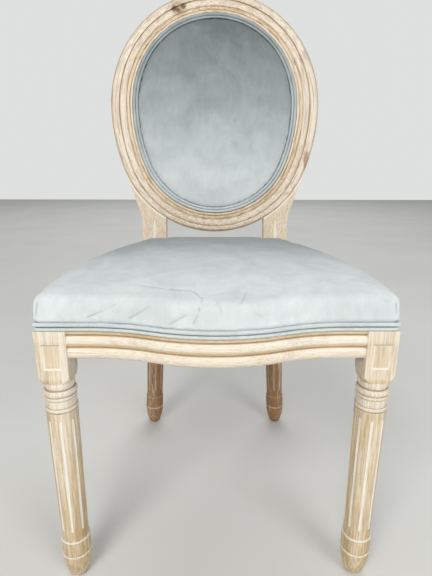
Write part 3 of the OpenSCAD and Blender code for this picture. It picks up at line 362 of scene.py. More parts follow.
def spots(scale, detail, roughness=0.5, distortion=0.0, squeeze=1, turned=(0, 0, 0)):
    # cloudy spots or, where they are turned and drawn out, straight fibres
    def build(tree, place):
        moved = addNode(tree, "Mapping", place, {"Rotation": turned, "Scale": (squeeze, 1, 1)})
        made = addNode(tree, "TexNoise", moved, {"Scale": scale, "Detail": detail, "Roughness": roughness,
                                                 "Distortion": distortion})
        return made, made
    return build


def weave(crossing, scale, distortion, detail, share=1.0, dust=0.0):
    # two sets of threads that cross, and dust that shows in the colour only
    def build(tree, place):
        threads = [addNode(tree, "TexWave", place, {
            "wave_type": "BANDS", "bands_direction": way, "Scale": scale, "Distortion": distortion,
            "Detail": detail}, out="Fac") for way in ("X", "Y")]
        crossed = addNode(tree, crossing, *threads)
        cloud = addNode(tree, "TexNoise", place, {"Scale": 24.0, "Detail": 4.0})
        dusty = addNode(tree, "MULTIPLY", cloud, dust)
        return addNode(tree, "MULTIPLY_ADD", crossed, share, dusty), crossed
    return build


# Raw beech of the hidden parts: sawn, unfinished and matt, with plain straight grain
sawnAlongX, sawnAlongZ = [
    plainMaterial(name, spots(520.0, 4.0, roughness=0.6, squeeze=0.06, turned=grain),
                  [(0.35, "#A87F50"), (0.5, "#C9A06D"), (0.66, "#DDBB8B")], 0.8, (0.3, 0.0005))
    for name, grain in (("sawnBeechBlocks", sideways), ("sawnBeechBoard", upright))]

# Zinc-plated steel screws: drawn wire with a faint blue-grey film, scuffed in the drive
platedSteel = plainMaterial("zincPlatedSteel", spots(900.0, 3.0), [(0.3, "#9A9FA3"), (0.7, "#C9CCCE")],
                            (0.28, 0.46), metallic=1.0)

# Moulded polyethylene glides: dark, a little waxy, scratched by the floor
glidePlastic = plainMaterial("mouldedPolyethylene", spots(260.0, 5.0, distortion=1.5),
                             [(0.35, "#3A3733"), (0.7, "#514D47")], 0.55, (0.2, 0.0002))

# Spun black cambric under the seat: thin, open and dusty. Its threads are 2 mm apart, coarser than real
# ones so that they show.
cambric = plainMaterial("blackCambric", weave("MULTIPLY", 160.0, 0.6, 1.0, share=0.3, dust=0.6),
                        [(0.2, "#17181A"), (0.8, "#3A3B3D")], 0.95, (0.3, 0.0003))

# Jute webbing: coarse brown threads 3 mm apart in a plain weave
jute = plainMaterial("juteWebbing", weave("MAXIMUM", 105.0, 1.2, 2.0), [(0.3, "#6E5433"), (0.9, "#B08E5E")],
                     0.9, (0.5, 0.0008))

for nodeName in ("corner_block_front_left", "corner_block_front_right", "corner_block_rear_left",
                 "corner_block_rear_right", "oval_dowels", "stile_dowels"):
    nodes[nodeName].material_slots[0].material = sawnAlongX
nodes["back_board"].material_slots[0].material = sawnAlongZ
nodes["corner_screws"].material_slots[0].material = platedSteel
for corner in ("front_left", "front_right", "rear_left", "rear_right"):
    nodes["glide_" + corner].material_slots[0].material = glidePlastic


# Polyester velvet: a short dense pile that lies over in patches, lighter and darker, and its edges catch a
# pale sheen. Each cover is also painted darker towards one end, which is painted shade.
pile = dict(stops=[(0.0, "#6F787B"), (0.4, "#A1AAAC"), (0.72, "#C9D1D2"), (1.0, "#E6EDED")], sheen="#F0F4F4",
            patch=0.075, brush=0.018, nap=0.0011, roughness=0.86, creaseDepth=-0.21)

# The creases of the seat cover: start, end, half width in millimetres and depth in millimetres
seatCreases = [
    ((-0.181, -0.2707, 0.439), (-0.1301, -0.2759, 0.4645), 2.8, 1.3),
    ((-0.1204, -0.2772, 0.4408), (-0.0856, -0.2876, 0.4655), 2.8, 1.2),
    ((-0.0643, -0.2941, 0.4406), (-0.0389, -0.3006, 0.4571), 2.8, 1.1),
    ((-0.0314, -0.3011, 0.4432), (-0.024, -0.3024, 0.4603), 3.0, 1.3),
    ((-0.024, -0.3024, 0.4603), (-0.0189, -0.2896, 0.4745), 3.2, 1.1),
    ((-0.1177, -0.2327, 0.4787), (-0.0698, -0.2547, 0.4778), 3.6, 0.8),
    ((-0.0698, -0.2547, 0.4778), (-0.0322, -0.2643, 0.4777), 3.6, 1.0),
    ((-0.0322, -0.2643, 0.4777), (-0.0189, -0.2880, 0.4749), 3.2, 1.0),
    ((0.0452, -0.2996, 0.4580), (0.0579, -0.2970, 0.4529), 3.6, 0.7),
    ((0.0279, -0.2999, 0.4686), (0.0391, -0.2667, 0.4770), 3.6, 0.7),
    ((-0.0023, -0.2921, 0.4742), (0.0057, -0.3034, 0.4609), 3.2, 0.7),
    ((-0.2400, -0.2700, 0.4390), (-0.2350, -0.2712, 0.4651), 2.6, 1.2),
    ((0.2398, -0.2700, 0.4390), (0.2350, -0.2712, 0.4651), 2.6, 1.2)]


def creaseShade(tree, place, line):
    # the thin dark line of a crease in the cover, from one of its ends to the other
    start, end, half, depth = line
    along = Vector(end) - Vector(start)
    moved = addNode(tree, "VectorMath SUBTRACT", place, start)
    foot = addNode(tree, "VectorMath PROJECT", moved, along)
    away = addNode(tree, "VectorMath DISTANCE", moved, foot, out="Value")
    share = addNode(tree, "VectorMath DOT_PRODUCT", moved, along / along.length_squared, out="Value")
    fade = addNode(tree, "MULTIPLY", band(tree, share, 0.25, 0.85, 0.25), depth)
    return addNode(tree, "MULTIPLY", band(tree, away, -1.0, half * 0.0001, half * 0.0008), fade)


def velvet(name, shade, seed, streak=0.30, creases=()):
    # shade is the painted shade along one axis: (axis, value at the dark end, value at the light end, dark
    # level, light level)
    material, tree, surface, place = newMaterial(name)
    along = addNode(tree, "SeparateXYZ", place, out=shade[0])
    pileAndShade = addNode(tree, "MapRange", along, *shade[1:], {"interpolation_type": "SMOOTHSTEP"})
    moved = addNode(tree, "Mapping", place, (seed, seed, seed))
    patch = addNode(tree, "TexNoise", moved, {"Scale": 1 / pile["patch"], "Detail": 4.0, "Roughness": 0.5,
                                              "Distortion": 0.9})
    brush = addNode(tree, "TexNoise", addNode(tree, "Mapping", moved, {"Scale": (1, 1, 0.4)}),
                    {"Scale": 1 / pile["brush"], "Detail": 4.0, "Roughness": 0.62, "Distortion": 1.2})
    nap = addNode(tree, "TexNoise", moved, {"Scale": 1 / pile["nap"], "Detail": 2.0})
    for noise, amount in ((patch, 0.42), (brush, streak)):
        pileAndShade = addNode(tree, "MULTIPLY_ADD", addNode(tree, "SUBTRACT", noise, 0.5), amount, pileAndShade)
    for line in creases:
        pileAndShade = addNode(tree, "MULTIPLY_ADD", creaseShade(tree, place, line), pile["creaseDepth"], pileAndShade)
    fine = addNode(tree, "SUBTRACT", nap, 0.5)
    pileAndShade = addNode(tree, "MULTIPLY_ADD", fine, 0.16, pileAndShade, {"use_clamp": True})
    height = addNode(tree, "MULTIPLY_ADD", brush, 1.5, nap)
    setNode(surface, {
        "Base Color": addNode(tree, "ValToRGB", pileAndShade, {"stops": pile["stops"]}),
        "Normal": addNode(tree, "Bump", {"Strength": 0.25, "Distance": 0.0006, "Height": height}),
        "Roughness": pile["roughness"], "Sheen Weight": 0.45, "Sheen Roughness": 0.4,
        "Sheen Tint": linearColour(pile["sheen"]), "Specular IOR Level": 0.25})
    return material


# Painted shade: the seat is darker towards its rear, and the inside back, the outside back and the piping are
# darker towards the top.
seatVelvet = velvet("velvetSeat", (1, 0.20, -0.22, 0.14, 0.90), 1.7, 0.24, seatCreases)
backVelvet = velvet("velvetInsideBack", (2, 0.99, 0.50, 0.05, 0.94), 3.1, 0.20)
rearVelvet = velvet("velvetOutsideBack", (2, 0.99, 0.50, 0.25, 0.6), 5.5)
pipingVelvet = velvet("velvetPiping", (2, 0.98, 0.40, 0.42, 0.84), 7.9)
print("materials made")


def inFrame(points):
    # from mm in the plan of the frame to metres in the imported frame
    return (np.asarray(points, float) - (0, plan["centreY"], 0)) / 1000


def onBack(points):
    # from mm in the back's own plane, with Y up the back and Z out to the front
    x, y, z = np.asarray(points, float).T
    return inFrame(np.column_stack([x, back["y"] + y * rakeSin - z * rakeCos,
                                    back["z"] + y * rakeCos + z * rakeSin]))


def atLevel(line, level):
    return np.column_stack([line, np.full(len(line), level)])


def placed(name, data):
    piece = bpy.data.objects.new(name, data)
    scene.collection.objects.link(piece)
    return piece


def newMesh(name, points, faces, material):
    mesh = bpy.data.meshes.new(name)
    mesh.from_pydata([tuple(p) for p in points], [], faces)
    mesh.materials.append(material)
    return placed(name, mesh)


def lofted(name, rings, first, last, material):
    # a closed skin through rings that run anticlockwise from outside the last point
    count, n = len(rings), len(rings[0])
    points = [first, *[p for ring in rings for p in ring], last]
    faces = [(0, 1 + (k + 1) % n, 1 + k) for k in range(n)]
    for a in range(1, 1 + (count - 1) * n, n):
        faces += [(a + k, a + (k + 1) % n, a + n + (k + 1) % n, a + n + k) for k in range(n)]
    a = 1 + (count - 1) * n
    faces += [(len(points) - 1, a + k, a + (k + 1) % n) for k in range(n)]
    return newMesh(name, points, faces, material)


def throughRows(rows, steps):
    # smooth curve through the rows of a profile, by the Catmull-Rom rule
    rows = np.asarray(rows, float)
    ends = np.vstack([2 * rows[0] - rows[1], rows, 2 * rows[-1] - rows[-2]])
    made = []
    for i in range(1, len(ends) - 2):
        a, b, c, d = ends[i - 1:i + 3]
        for t in np.arange(steps) / steps:
            bent = (2 * a - 5 * b + 4 * c - d) * t ** 2 + (3 * b - a - 3 * c + d) * t ** 3
            made.append(0.5 * (2 * b + (c - a) * t + bent))
    return np.array(made + [rows[-1]])


def evenly(points, spacing):
    # the same line with its points evenly apart; further columns are carried along
    points = np.asarray(points, float)
    length = np.concatenate([[0], np.cumsum(np.linalg.norm(np.diff(points[:, :2], axis=0), axis=1))])
    at = np.linspace(0, length[-1], max(2, int(round(length[-1] / spacing)) + 1))
    return np.column_stack([np.interp(at, length, column) for column in points.T])


def areaOf(outline):
    # square metres inside a closed line in mm
    x, y = outline[:, 0], outline[:, 1]
    return abs(np.sum(x * np.roll(y, -1) - np.roll(x, -1) * y)) / 2e6


bowRadius = ((plan["bowWidth"] / 2) ** 2 + (plan["bow"] / 2) ** 2) / plan["bow"]
bowAngle = math.asin(plan["bowWidth"] / 2 / bowRadius)
notchY, notchX = plan["stileLine"] - plan["softGap"], plan["stileInner"] - plan["softGap"]


def seatEdge(corner=plan["corner"], tighten=plan["tighten"]):
    # right half of the wood's line, front to rear: place, way in, lean with the stile, place without notch
    line = []
    for a in np.linspace(0, bowAngle, 20, endpoint=False):
        y = bowRadius - plan["bow"] - bowRadius * math.cos(a)
        line.append((bowRadius * math.sin(a), y, -math.sin(a), math.cos(a)))
    for a in np.linspace(bowAngle, 0, 21):
        x = plan["bowWidth"] - bowRadius * math.sin(a)
        line.append((x, bowRadius * (math.cos(a) - 1), -math.sin(a), math.cos(a)))
    for a in np.linspace(0, math.pi / 2, 9):
        inX, inY = 1 - math.sin(a), 1 - math.cos(a)
        line.append((plan["halfWidth"] - corner * inX, corner * inY, tighten * inX - 1, 1 - tighten * inY))
    for a in np.linspace(0, math.asin((notchY - plan["block"]) / plan["sideRadius"]), 60):
        x = plan["sideCentre"] + plan["sideRadius"] * math.cos(a)
        line.append((x, plan["block"] + plan["sideRadius"] * math.sin(a), -math.cos(a), -math.sin(a)))
    line = [(x, y, nx, ny, 0, x, y) for x, y, nx, ny in line]
    startX, startY = line[-1][:2]
    notch = [(startX + (notchX - startX) * t, notchY, t - 1, 0, 1) for t in np.linspace(0, 1, 12)]
    notch += [(notchX, notchY + (plan["depth"] - notchY) * t, 0, -t, 1 - t) for t in np.linspace(0.1, 1, 6)]
    turn = ((startX, startX - plan["notchTurn"], notchX), (startY, plan["depth"], plan["depth"]))
    for i, p in enumerate(notch):
        t = (i + 1) / len(notch)
        line.append((*p, *[(1 - t) ** 2 * s + 2 * t * (1 - t) * m + t ** 2 * e for s, m, e in turn]))
    line += [(x, plan["depth"], 0, -1, 0, x, plan["depth"]) for x in np.linspace(notchX, 0, 12)[1:]]
    return np.array(line)


def mirrored(half, flips):
    return np.vstack([half, half[::-1][1:-1] * flips])


# Seat cushion: webbed foam under one tight piece of velvet. Rows are inset from the wood's line, share
# of the way in to the middle, and height over the ledge.
seatCushion = dict(rows=[(5.1, 0, 0.5), (5.1, 0, 11.8), (0.5, 0, 12.9), (-0.2, 0, 16.0), (0.8, 0, 34.0),
                         (2.3, 0, 43.1), (5.7, 0.01, 49.0), (5.7, 0.07, 51.6), (5.7, 0.25, 57.0),
                         (5.7, 0.5, 62.1), (5.7, 0.75, 65.2)],
                   crown=66.0, hollow=24.6, rearLift=4.4, edgeHeight=49.0, bulge=6.5, middle=(0, 213.9),
                   spacing=4.0, voxel=0.0046, pressure=4.0, cap=0.0012, grow=-0.006, pinnedTo=0.4375,
                   freeFrom=0.446, smoothFrom=0.08, smoothOver=0.4, bellyFrom=13, bellyOver=14,
                   stileHold=0.8, stileBehind=0.15, stileSpan=(0.1, 0.172))
# The cloth solver's settings for velvet over a filling
clothStiffness = dict(quality=5, mass=0.3, tension_stiffness=18, compression_stiffness=18, shear_stiffness=6,
                      bending_stiffness=0.4)
clothSteps = 20


def seatRings(settings):
    edge = mirrored(evenly(seatEdge(), settings["spacing"]), np.array([-1, 1, -1, 1, 1, -1, 1]))
    climb = settings["rearLift"] / settings["edgeHeight"] * np.maximum(edge[:, 1], 0) / plan["depth"]
    rings = []
    for inset, share, height in throughRows(settings["rows"], 4):
        smooth = min(max((share - settings["smoothFrom"]) / settings["smoothOver"], 0), 1)
        smooth = smooth * smooth * (3 - 2 * smooth)
        # the sides belly out between the front corners and the stiles, and their top edge climbs to the rear
        risen = min(max((height - settings["bellyFrom"]) / settings["bellyOver"], 0), 1)
        moved = inset - settings["bulge"] * np.sin(np.pi * np.clip(edge[:, 1] / notchY, 0, 1)) * risen
        z = height * (1 + (1 - share) * climb)
        x = edge[:, 0] + edge[:, 2] * moved
        y = edge[:, 1] + edge[:, 3] * moved + edge[:, 4] * z * math.tan(back["rake"])
        x += (edge[:, 5] - x) * smooth * (edge[:, 5] != edge[:, 0])
        y += (edge[:, 6] - y) * smooth * (edge[:, 6] != edge[:, 1])
        x += (settings["middle"][0] - x) * share
        y += (settings["middle"][1] - y) * share
        rings.append(inFrame(np.column_stack([x, y, plan["ledge"] + z])))
    return rings


def meshArrays(mesh):
    points, normals = np.zeros(len(mesh.vertices) * 3), np.zeros(len(mesh.vertices) * 3)
    mesh.vertices.foreach_get("co", points)
    mesh.vertex_normals.foreach_get("vector", normals)
    return points.reshape(-1, 3), normals.reshape(-1, 3)


def setPoints(mesh, points):
    mesh.vertices.foreach_set("co", np.asarray(points, float).ravel())
    mesh.update()


def evaluated(piece):
    return piece.evaluated_get(bpy.context.evaluated_depsgraph_get())


def workIn(piece, kind, settings):
    # works a modifier into the piece's own mesh
    modifier = piece.modifiers.new(kind.lower(), kind)
    for key, value in settings.items():
        setattr(modifier, key, value)
    shape = bpy.data.meshes.new_from_object(evaluated(piece))
    piece.modifiers.clear()
    piece.data = shape


def evened(points, mesh, rounds, held):
    # each free point moves halfway to the mean of its neighbours
    ends = np.zeros(len(mesh.edges) * 2, int)
    mesh.edges.foreach_get("vertices", ends)
    ends = ends.reshape(-1, 2)
    count = np.bincount(ends.ravel(), minlength=len(points))[:, None]
    for _ in range(rounds):
        total = np.zeros_like(points)
        np.add.at(total, ends[:, 0], points[ends[:, 1]])
        np.add.at(total, ends[:, 1], points[ends[:, 0]])
        points = points + (total / count - points) * 0.5 * (1 - held[:, None])
    return points


def stuffed(piece, settings, heldAmount):
    # the velvet swells over its filling: cloth under pressure, held where it is tacked down
    drawn = piece.data
    form = BVHTree.FromPolygons([v.co.copy() for v in drawn.vertices],
                                [tuple(p.vertices) for p in drawn.polygons])
    workIn(piece, "REMESH", {"mode": "VOXEL", "voxel_size": settings["voxel"], "use_smooth_shade": True})
    mesh = piece.data
    points = meshArrays(mesh)[0]
    points = evened(points, mesh, 3, np.zeros(len(points)))
    points = np.array([form.find_nearest(Vector(p))[0] for p in points])  # back onto the drawn form
    held = heldAmount(points)
    setPoints(mesh, points)
    group = piece.vertex_groups.new(name="held")
    for i in np.flatnonzero(held > 0):
        group.add([int(i)], float(held[i]), "REPLACE")
    cloth = piece.modifiers.new("cloth", "CLOTH").settings
    for key, value in clothStiffness.items():
        setattr(cloth, key, value)
    cloth.vertex_group_mass = "held"
    cloth.use_pressure = True
    cloth.uniform_pressure_force = settings["pressure"]
    cloth.effector_weights.gravity = 0
    cloth.shrink_min = settings["grow"]
    for step in range(1, clothSteps + 1):
        scene.frame_set(step)
    moved = meshArrays(evaluated(piece).to_mesh())[0] - points
    far = np.linalg.norm(moved, axis=1, keepdims=True)
    points = points + moved * (1 - held[:, None]) * np.minimum(1, settings["cap"] / np.maximum(far, 1e-9))
    piece.modifiers.clear()
    piece.vertex_groups.clear()
    scene.frame_set(1)
    setPoints(mesh, evened(points, mesh, 1, held))
    workIn(piece, "SUBSURF", {"levels": 1, "render_levels": 1})


def seatHeld(points):
    rise = (points[:, 2] - seatCushion["pinnedTo"]) / (seatCushion["freeFrom"] - seatCushion["pinnedTo"])
    aside, (inner, outer) = np.abs(points[:, 0]), seatCushion["stileSpan"]
    byStile = (points[:, 1] > seatCushion["stileBehind"]) & (aside > inner) & (aside < outer)
    return np.maximum(1 - np.clip(rise, 0, 1), byStile * seatCushion["stileHold"])


def creased(mesh, creases):
    # each crease is a shallow valley with a low ridge beside it
    points, normals = meshArrays(mesh)
    shift = np.zeros(len(points))
    for start, end, half, depth in creases:
        start, way = np.array(start), np.array(end) - np.array(start)
        along = np.clip((points - start) @ way / (way @ way), 0, 1)
        off = points - (start + along[:, None] * way)
        far = np.linalg.norm(off, axis=1) / (half / 1000)
        side = np.sign(np.cross(way, off)[:, 1] + 1e-12)
        taper = np.sin(np.pi * np.clip(along * 0.8 + 0.1, 0, 1))
        shift -= depth / 1000 * taper * np.exp(-far ** 2) * (1 - 1.1 * np.clip(far * side, -1, 1))
    setPoints(mesh, points + normals * shift[:, None])


seatEnds = inFrame([(*seatCushion["middle"], plan["ledge"] + seatCushion[end]) for end in ("hollow", "crown")])
seatPiece = lofted("seatCushion", seatRings(seatCushion), *seatEnds, seatVelvet)
stuffed(seatPiece, seatCushion, seatHeld)
creased(seatPiece.data, seatCreases)
print("seat cushion made:", len(seatPiece.data.polygons), "faces")


def ovalPoints(angles, inset):
    # points inside the opening's four-centre oval, where the outward normals have these angles
    widest, half = opening["widest"], opening["half"]
    c, s, lc, ls = [way(math.radians(opening[key])) for key in ("crestAngle", "lowerAngle")
                    for way in (math.cos, math.sin)]
    up = (opening["top"] - widest - half) / (c + s - 1)
    low = (widest - opening["foot"] - half) / (lc + ls - 1)
    made = []
    for angle in angles:
        a = (angle + 180) % 360 - 180
        tilt = min(abs(a), 180 - abs(a))
        side = -1 if abs(a) > 90 else 1
        if a >= 0 and tilt >= opening["crestAngle"]:
            cx, cy, r = 0, widest + up * s, opening["top"] - widest - up * s
        elif a >= 0:
            cx, cy, r = -up * c, widest, half + up * c
        elif tilt >= opening["lowerAngle"]:
            cx, cy, r = 0, widest - low * ls, widest - opening["foot"] - low * ls
        else:
            cx, cy, r = -low * lc, widest, half + low * lc
        t = math.radians(a)
        made.append((side * cx + (r - inset) * math.cos(t), cy + (r - inset) * math.sin(t)))
    return np.array(made)


def ovalRings(rows, count):
    # rings round the opening: inset from its edge and height over the face of the back, in mm
    angles = np.linspace(-180, 180, count, endpoint=False)
    return [onBack(atLevel(ovalPoints(angles, inset), out)) for inset, out in rows]


def overMiddle(*heights):
    # points over the middle of the back
    return onBack([(0, back["middle"], height) for height in heights])


# Inside back: a domed pad in the front rebate of the oval, its edge tacked down under the piping
backPad = dict(rows=[(12.4, -1.5), (12.5, 0.5), (13.5, 4.0), (17.4, 8.7), (25.4, 12.7), (45.4, 17.4),
                     (81.4, 21.1), (125.4, 22.7)], under=-1.5, crown=23.2, points=220, voxel=0.0050,
               pressure=3.0, cap=0.0015, grow=-0.006, heldTo=0.002, freeOver=0.006,
               hem=[(1.6, -1.6), (1.6, -0.5), (17.0, -0.5), (17.0, -1.6)])


def backHeld(points):
    behind = points[:, 1] - (back["y"] - plan["centreY"]) / 1000
    out = (points[:, 2] - back["z"] / 1000) * rakeSin - behind * rakeCos
    return 1 - np.clip((out - backPad["heldTo"]) / backPad["freeOver"], 0, 1)


def hemRing(name, rows, n, material):
    # the flat hem of the cover, a closed ring under the piping
    corners = [(j * n, (j + 1) % len(rows) * n) for j in range(len(rows))]
    faces = [(a + k, a + (k + 1) % n, b + (k + 1) % n, b + k) for a, b in corners for k in range(n)]
    return newMesh(name, np.concatenate(ovalRings(rows, n)), faces, material)


backPiece = lofted("insideBackPad", ovalRings(throughRows(backPad["rows"], 3), backPad["points"]),
                   *overMiddle(backPad["under"], backPad["crown"]), backVelvet)
stuffed(backPiece, backPad, backHeld)
print("inside back made:", len(backPiece.data.polygons), "faces")

# Outside back: one flat piece of velvet pulled over the rear of the oval's opening, bellied a little
outsidePanel = dict(rows=[(113.4, -24.35), (63.4, -23.35), (33.4, -21.7), (13.4, -19.6), (1.2, -19.6)],
                    thickness=1.5, crown=-24.6, points=160, hem=1.2)


def outsideBack():
    rows, thickness, crown = outsidePanel["rows"], outsidePanel["thickness"], outsidePanel["crown"]
    inner = [(inset, out + thickness) for inset, out in rows[::-1]]
    rings = [ring for half in (rows, inner)
             for ring in ovalRings(throughRows(half, 5), outsidePanel["points"])]
    piece = lofted("outsideBackPanel", rings, *overMiddle(crown, crown + thickness), rearVelvet)
    piece.data.shade_smooth()
    return piece, areaOf(ovalPoints(np.linspace(-180, 180, 200, endpoint=False), outsidePanel["hem"]))


outsidePiece, cutArea = outsideBack()
print("outside back made")


def newTree(name, numbers, finish, result):
    # a geometry tree with its inputs: a path, numbers and the material that it puts on
    tree = bpy.data.node_groups.new(name, "GeometryNodeTree")
    tree.interface.new_socket("Path", in_out="INPUT", socket_type="NodeSocketGeometry")
    for label, value in numbers.items():
        tree.interface.new_socket(label, in_out="INPUT", socket_type="NodeSocketFloat").default_value = value
    tree.interface.new_socket(finish, in_out="INPUT", socket_type="NodeSocketMaterial")
    tree.interface.new_socket(result, in_out="OUTPUT", socket_type="NodeSocketGeometry")
    return tree, addNode(tree, "NodeGroupInput", out=None)


def closeTree(tree, shape, material):
    real = addNode(tree, "GeometryNodeRealizeInstances", shape)
    addNode(tree, "NodeGroupOutput", addNode(tree, "GeometryNodeSetMaterial", real, {"Material": material}))
    return tree


# Piping: cotton cord wrapped in the velvet and sewn in pairs. Each cord is its label, radius, inset and
# height in mm, and the tree sweeps one cord along its path.
piping = dict(ledge=[("lower", 2.4, 2.2, 2.6), ("upper", 2.8, 0.9, 9.6)], corner=2.0, ovalPoints=240,
              oval=[("Outer", 3.0, 3.6, 2.9), ("Inner", 2.7, 9.8, 2.7)], spacing=4.0, uneven=0.00025)


def pipingTree():
    tree, given = newTree("sweptCord", {"Cord radius": 0.003, "Point spacing": piping["spacing"] / 1000,
                                        "Unevenness": piping["uneven"]}, "Cover", "Cord")
    path = addNode(tree, "GeometryNodeResampleCurve", given["Path"],
                   {"mode": "LENGTH", "Length": given["Point spacing"]})
    around = addNode(tree, "GeometryNodeCurvePrimitiveCircle", 12, {"Radius": given["Cord radius"]})
    swept = addNode(tree, "GeometryNodeCurveToMesh", path, around, {"Fill Caps": True})
    uneven = addNode(tree, "TexNoise", {"Scale": 55.0, "Detail": 2.0}, out="Color")
    centred = addNode(tree, "VectorMath SUBTRACT", uneven, (0.5, 0.5, 0.5))
    shift = addNode(tree, "VectorMath SCALE", centred, {"Scale": given["Unevenness"]})
    moved = addNode(tree, "GeometryNodeSetPosition", swept, {"Offset": shift})
    return closeTree(tree, addNode(tree, "GeometryNodeSetShadeSmooth", moved), given["Cover"])


def pathCurve(name, lines, closed):
    curve = bpy.data.curves.new(name, "CURVE")
    curve.dimensions = "3D"
    for line in lines:
        spline = curve.splines.new("POLY")
        spline.points.add(len(line) - 1)
        for point, place in zip(spline.points, line):
            point.co = (*place, 1)
        spline.use_cyclic_u = closed
    return placed(name, curve)


def runTree(piece, tree, values):
    # gives the tree its inputs by identifier, then keeps its result as a plain mesh
    modifier = piece.modifiers.new(tree.name, "NODES")
    modifier.node_group = tree
    for item in tree.interface.items_tree:
        if item.in_out == "INPUT" and item.name in values:
            modifier[item.identifier] = values[item.name]
    made = placed(piece.name, bpy.data.meshes.new_from_object(evaluated(piece)))
    bpy.data.objects.remove(piece)
    return made


def joined(name, parts):
    whole = bmesh.new()
    for part in parts:
        whole.from_mesh(part.data)
    mesh = bpy.data.meshes.new(name)
    whole.to_mesh(mesh)
    whole.free()
    mesh.materials.append(parts[0].data.materials[0])
    for part in parts:
        bpy.data.objects.remove(part)
    return placed(name, mesh)


cordTree = pipingTree()


def cordAlong(name, lines, closed, radius):
    path = pathCurve(name, lines, closed)
    return runTree(path, cordTree, {"Cord radius": radius / 1000, "Cover": pipingVelvet})


def ledgePiping():
    half = seatEdge(piping["corner"], 0.0)
    half = half[(half[:, 4] == 0) & (half[:, 1] < notchY - 0.01)]
    front = evenly(half[:, :4], piping["spacing"])
    around = np.vstack([front[::-1][:-1] * (-1, 1, -1, 1), front])
    rearX = np.linspace(-notchX, notchX, 50)
    cords = []
    for label, radius, inset, height in piping["ledge"]:
        level = plan["ledge"] + height
        front, rear = around[:, :2] + around[:, 2:] * inset, [(x, plan["depth"] - inset) for x in rearX]
        lines = [inFrame(atLevel(line, level)) for line in (front, rear)]
        cords.append(cordAlong(label + "LedgeCord", lines, False, radius))
    return joined("ledgePiping", cords)


def ovalPiping(name, level, way):
    return joined(name, [
        cordAlong(name + label, ovalRings([(inset, level + way * height)], piping["ovalPoints"]), True, radius)
        for label, radius, inset, height in piping["oval"]])


ledgeCords = ledgePiping()
backPiece = joined("insideBackPad", [backPiece, hemRing("hem", backPad["hem"], backPad["points"], backVelvet)])
backCords = ovalPiping("insideBackPiping", 0.0, 1)
outsideCords = ovalPiping("outsideBackPiping", -20.0, -1)
print("piping made")


# Dust cover: black cloth stapled under the rails, sagging a little in the middle
dustCover = dict(inset=8.0, notch=1.0, level=383.5, thickness=0.0008, sag=2.2, rings=14, rearDepth=43.0,
                 spacing=9.0, middle=(0, 214.0), gap=0.5, frontReach=60, sideFrom=100, flatShare=0.08)


def dustOutline():
    half = seatEdge()
    half = half[(half[:, 4] == 0) & (half[:, 1] < notchY)]
    line = [(x, y) for x, y in half[:, :2] + half[:, 2:4] * dustCover["inset"]]
    notch = dustCover["notch"]
    inner, rearInner = plan["halfWidth"] - plan["block"] - notch, plan["stileInner"] - notch
    rail, rear = plan["depth"] - dustCover["rearDepth"], plan["depth"] - dustCover["inset"]
    front = [(x, y) for x, y in line if x < inner and y < dustCover["frontReach"]]
    side = [(x, y) for x, y in line if x > dustCover["sideFrom"] and plan["block"] + 2 < y < rail - 2]
    corner = [(inner, front[-1][1]), (inner, plan["block"] + notch), (side[0][0], plan["block"] + notch)]
    end = [(side[-1][0], rail - notch), (rearInner, rail - notch), (rearInner, rear), (0, rear)]
    half = evenly([(0, front[0][1]), *front[1:], *corner, *side, *end], dustCover["spacing"])
    return mirrored(half, np.array([-1, 1]))


def dustSheet(edge):
    middle, n = np.array(dustCover["middle"]), len(edge)
    rows = []
    for t in np.linspace(0, 1, dustCover["rings"], endpoint=False):
        sag = dustCover["sag"] * (1 - (1 - t) ** 2) * (t > dustCover["flatShare"])
        level = dustCover["level"] - dustCover["gap"] - sag
        rows.append(inFrame(atLevel(edge + (middle - edge) * t, level)))
    lowest = inFrame([(*middle, dustCover["level"] - dustCover["gap"] - dustCover["sag"])])
    faces = [(j * n + (k + 1) % n, j * n + k, (j + 1) * n + k, (j + 1) * n + (k + 1) % n)
             for j in range(len(rows) - 1) for k in range(n)]
    faces += [(len(rows) * n, (len(rows) - 1) * n + (k + 1) % n, (len(rows) - 1) * n + k) for k in range(n)]
    piece = newMesh("dustCover", np.concatenate([*rows, lowest]), faces, cambric)
    workIn(piece, "SOLIDIFY", {"thickness": dustCover["thickness"], "offset": 0.0})
    piece.data.shade_smooth()
    return piece


dustEdge = dustOutline()
dustPiece, dustArea = dustSheet(dustEdge), areaOf(dustEdge)
print("dust cover made")


# Webbing: jute straps woven over and under, tacked on top of the rails
webbing = dict(across=[90, 175, 260, 345], along=[-80, 0, 80], width=50.0, thickness=1.2, level=444.7,
               inset=13.0, rearY=452.0, points=90, lift=0.75)


def halfWidthAt(y):
    angle = math.asin(max(y - plan["block"], 0) / plan["sideRadius"])
    return plan["sideCentre"] + plan["sideRadius"] * math.cos(angle) - webbing["inset"]


def frontAt(x):
    x = abs(x)
    if x < plan["bowWidth"] / 2:
        return bowRadius - plan["bow"] - math.sqrt(bowRadius ** 2 - x ** 2) + webbing["inset"]
    return math.sqrt(bowRadius ** 2 - (plan["bowWidth"] - x) ** 2) - bowRadius + webbing["inset"]


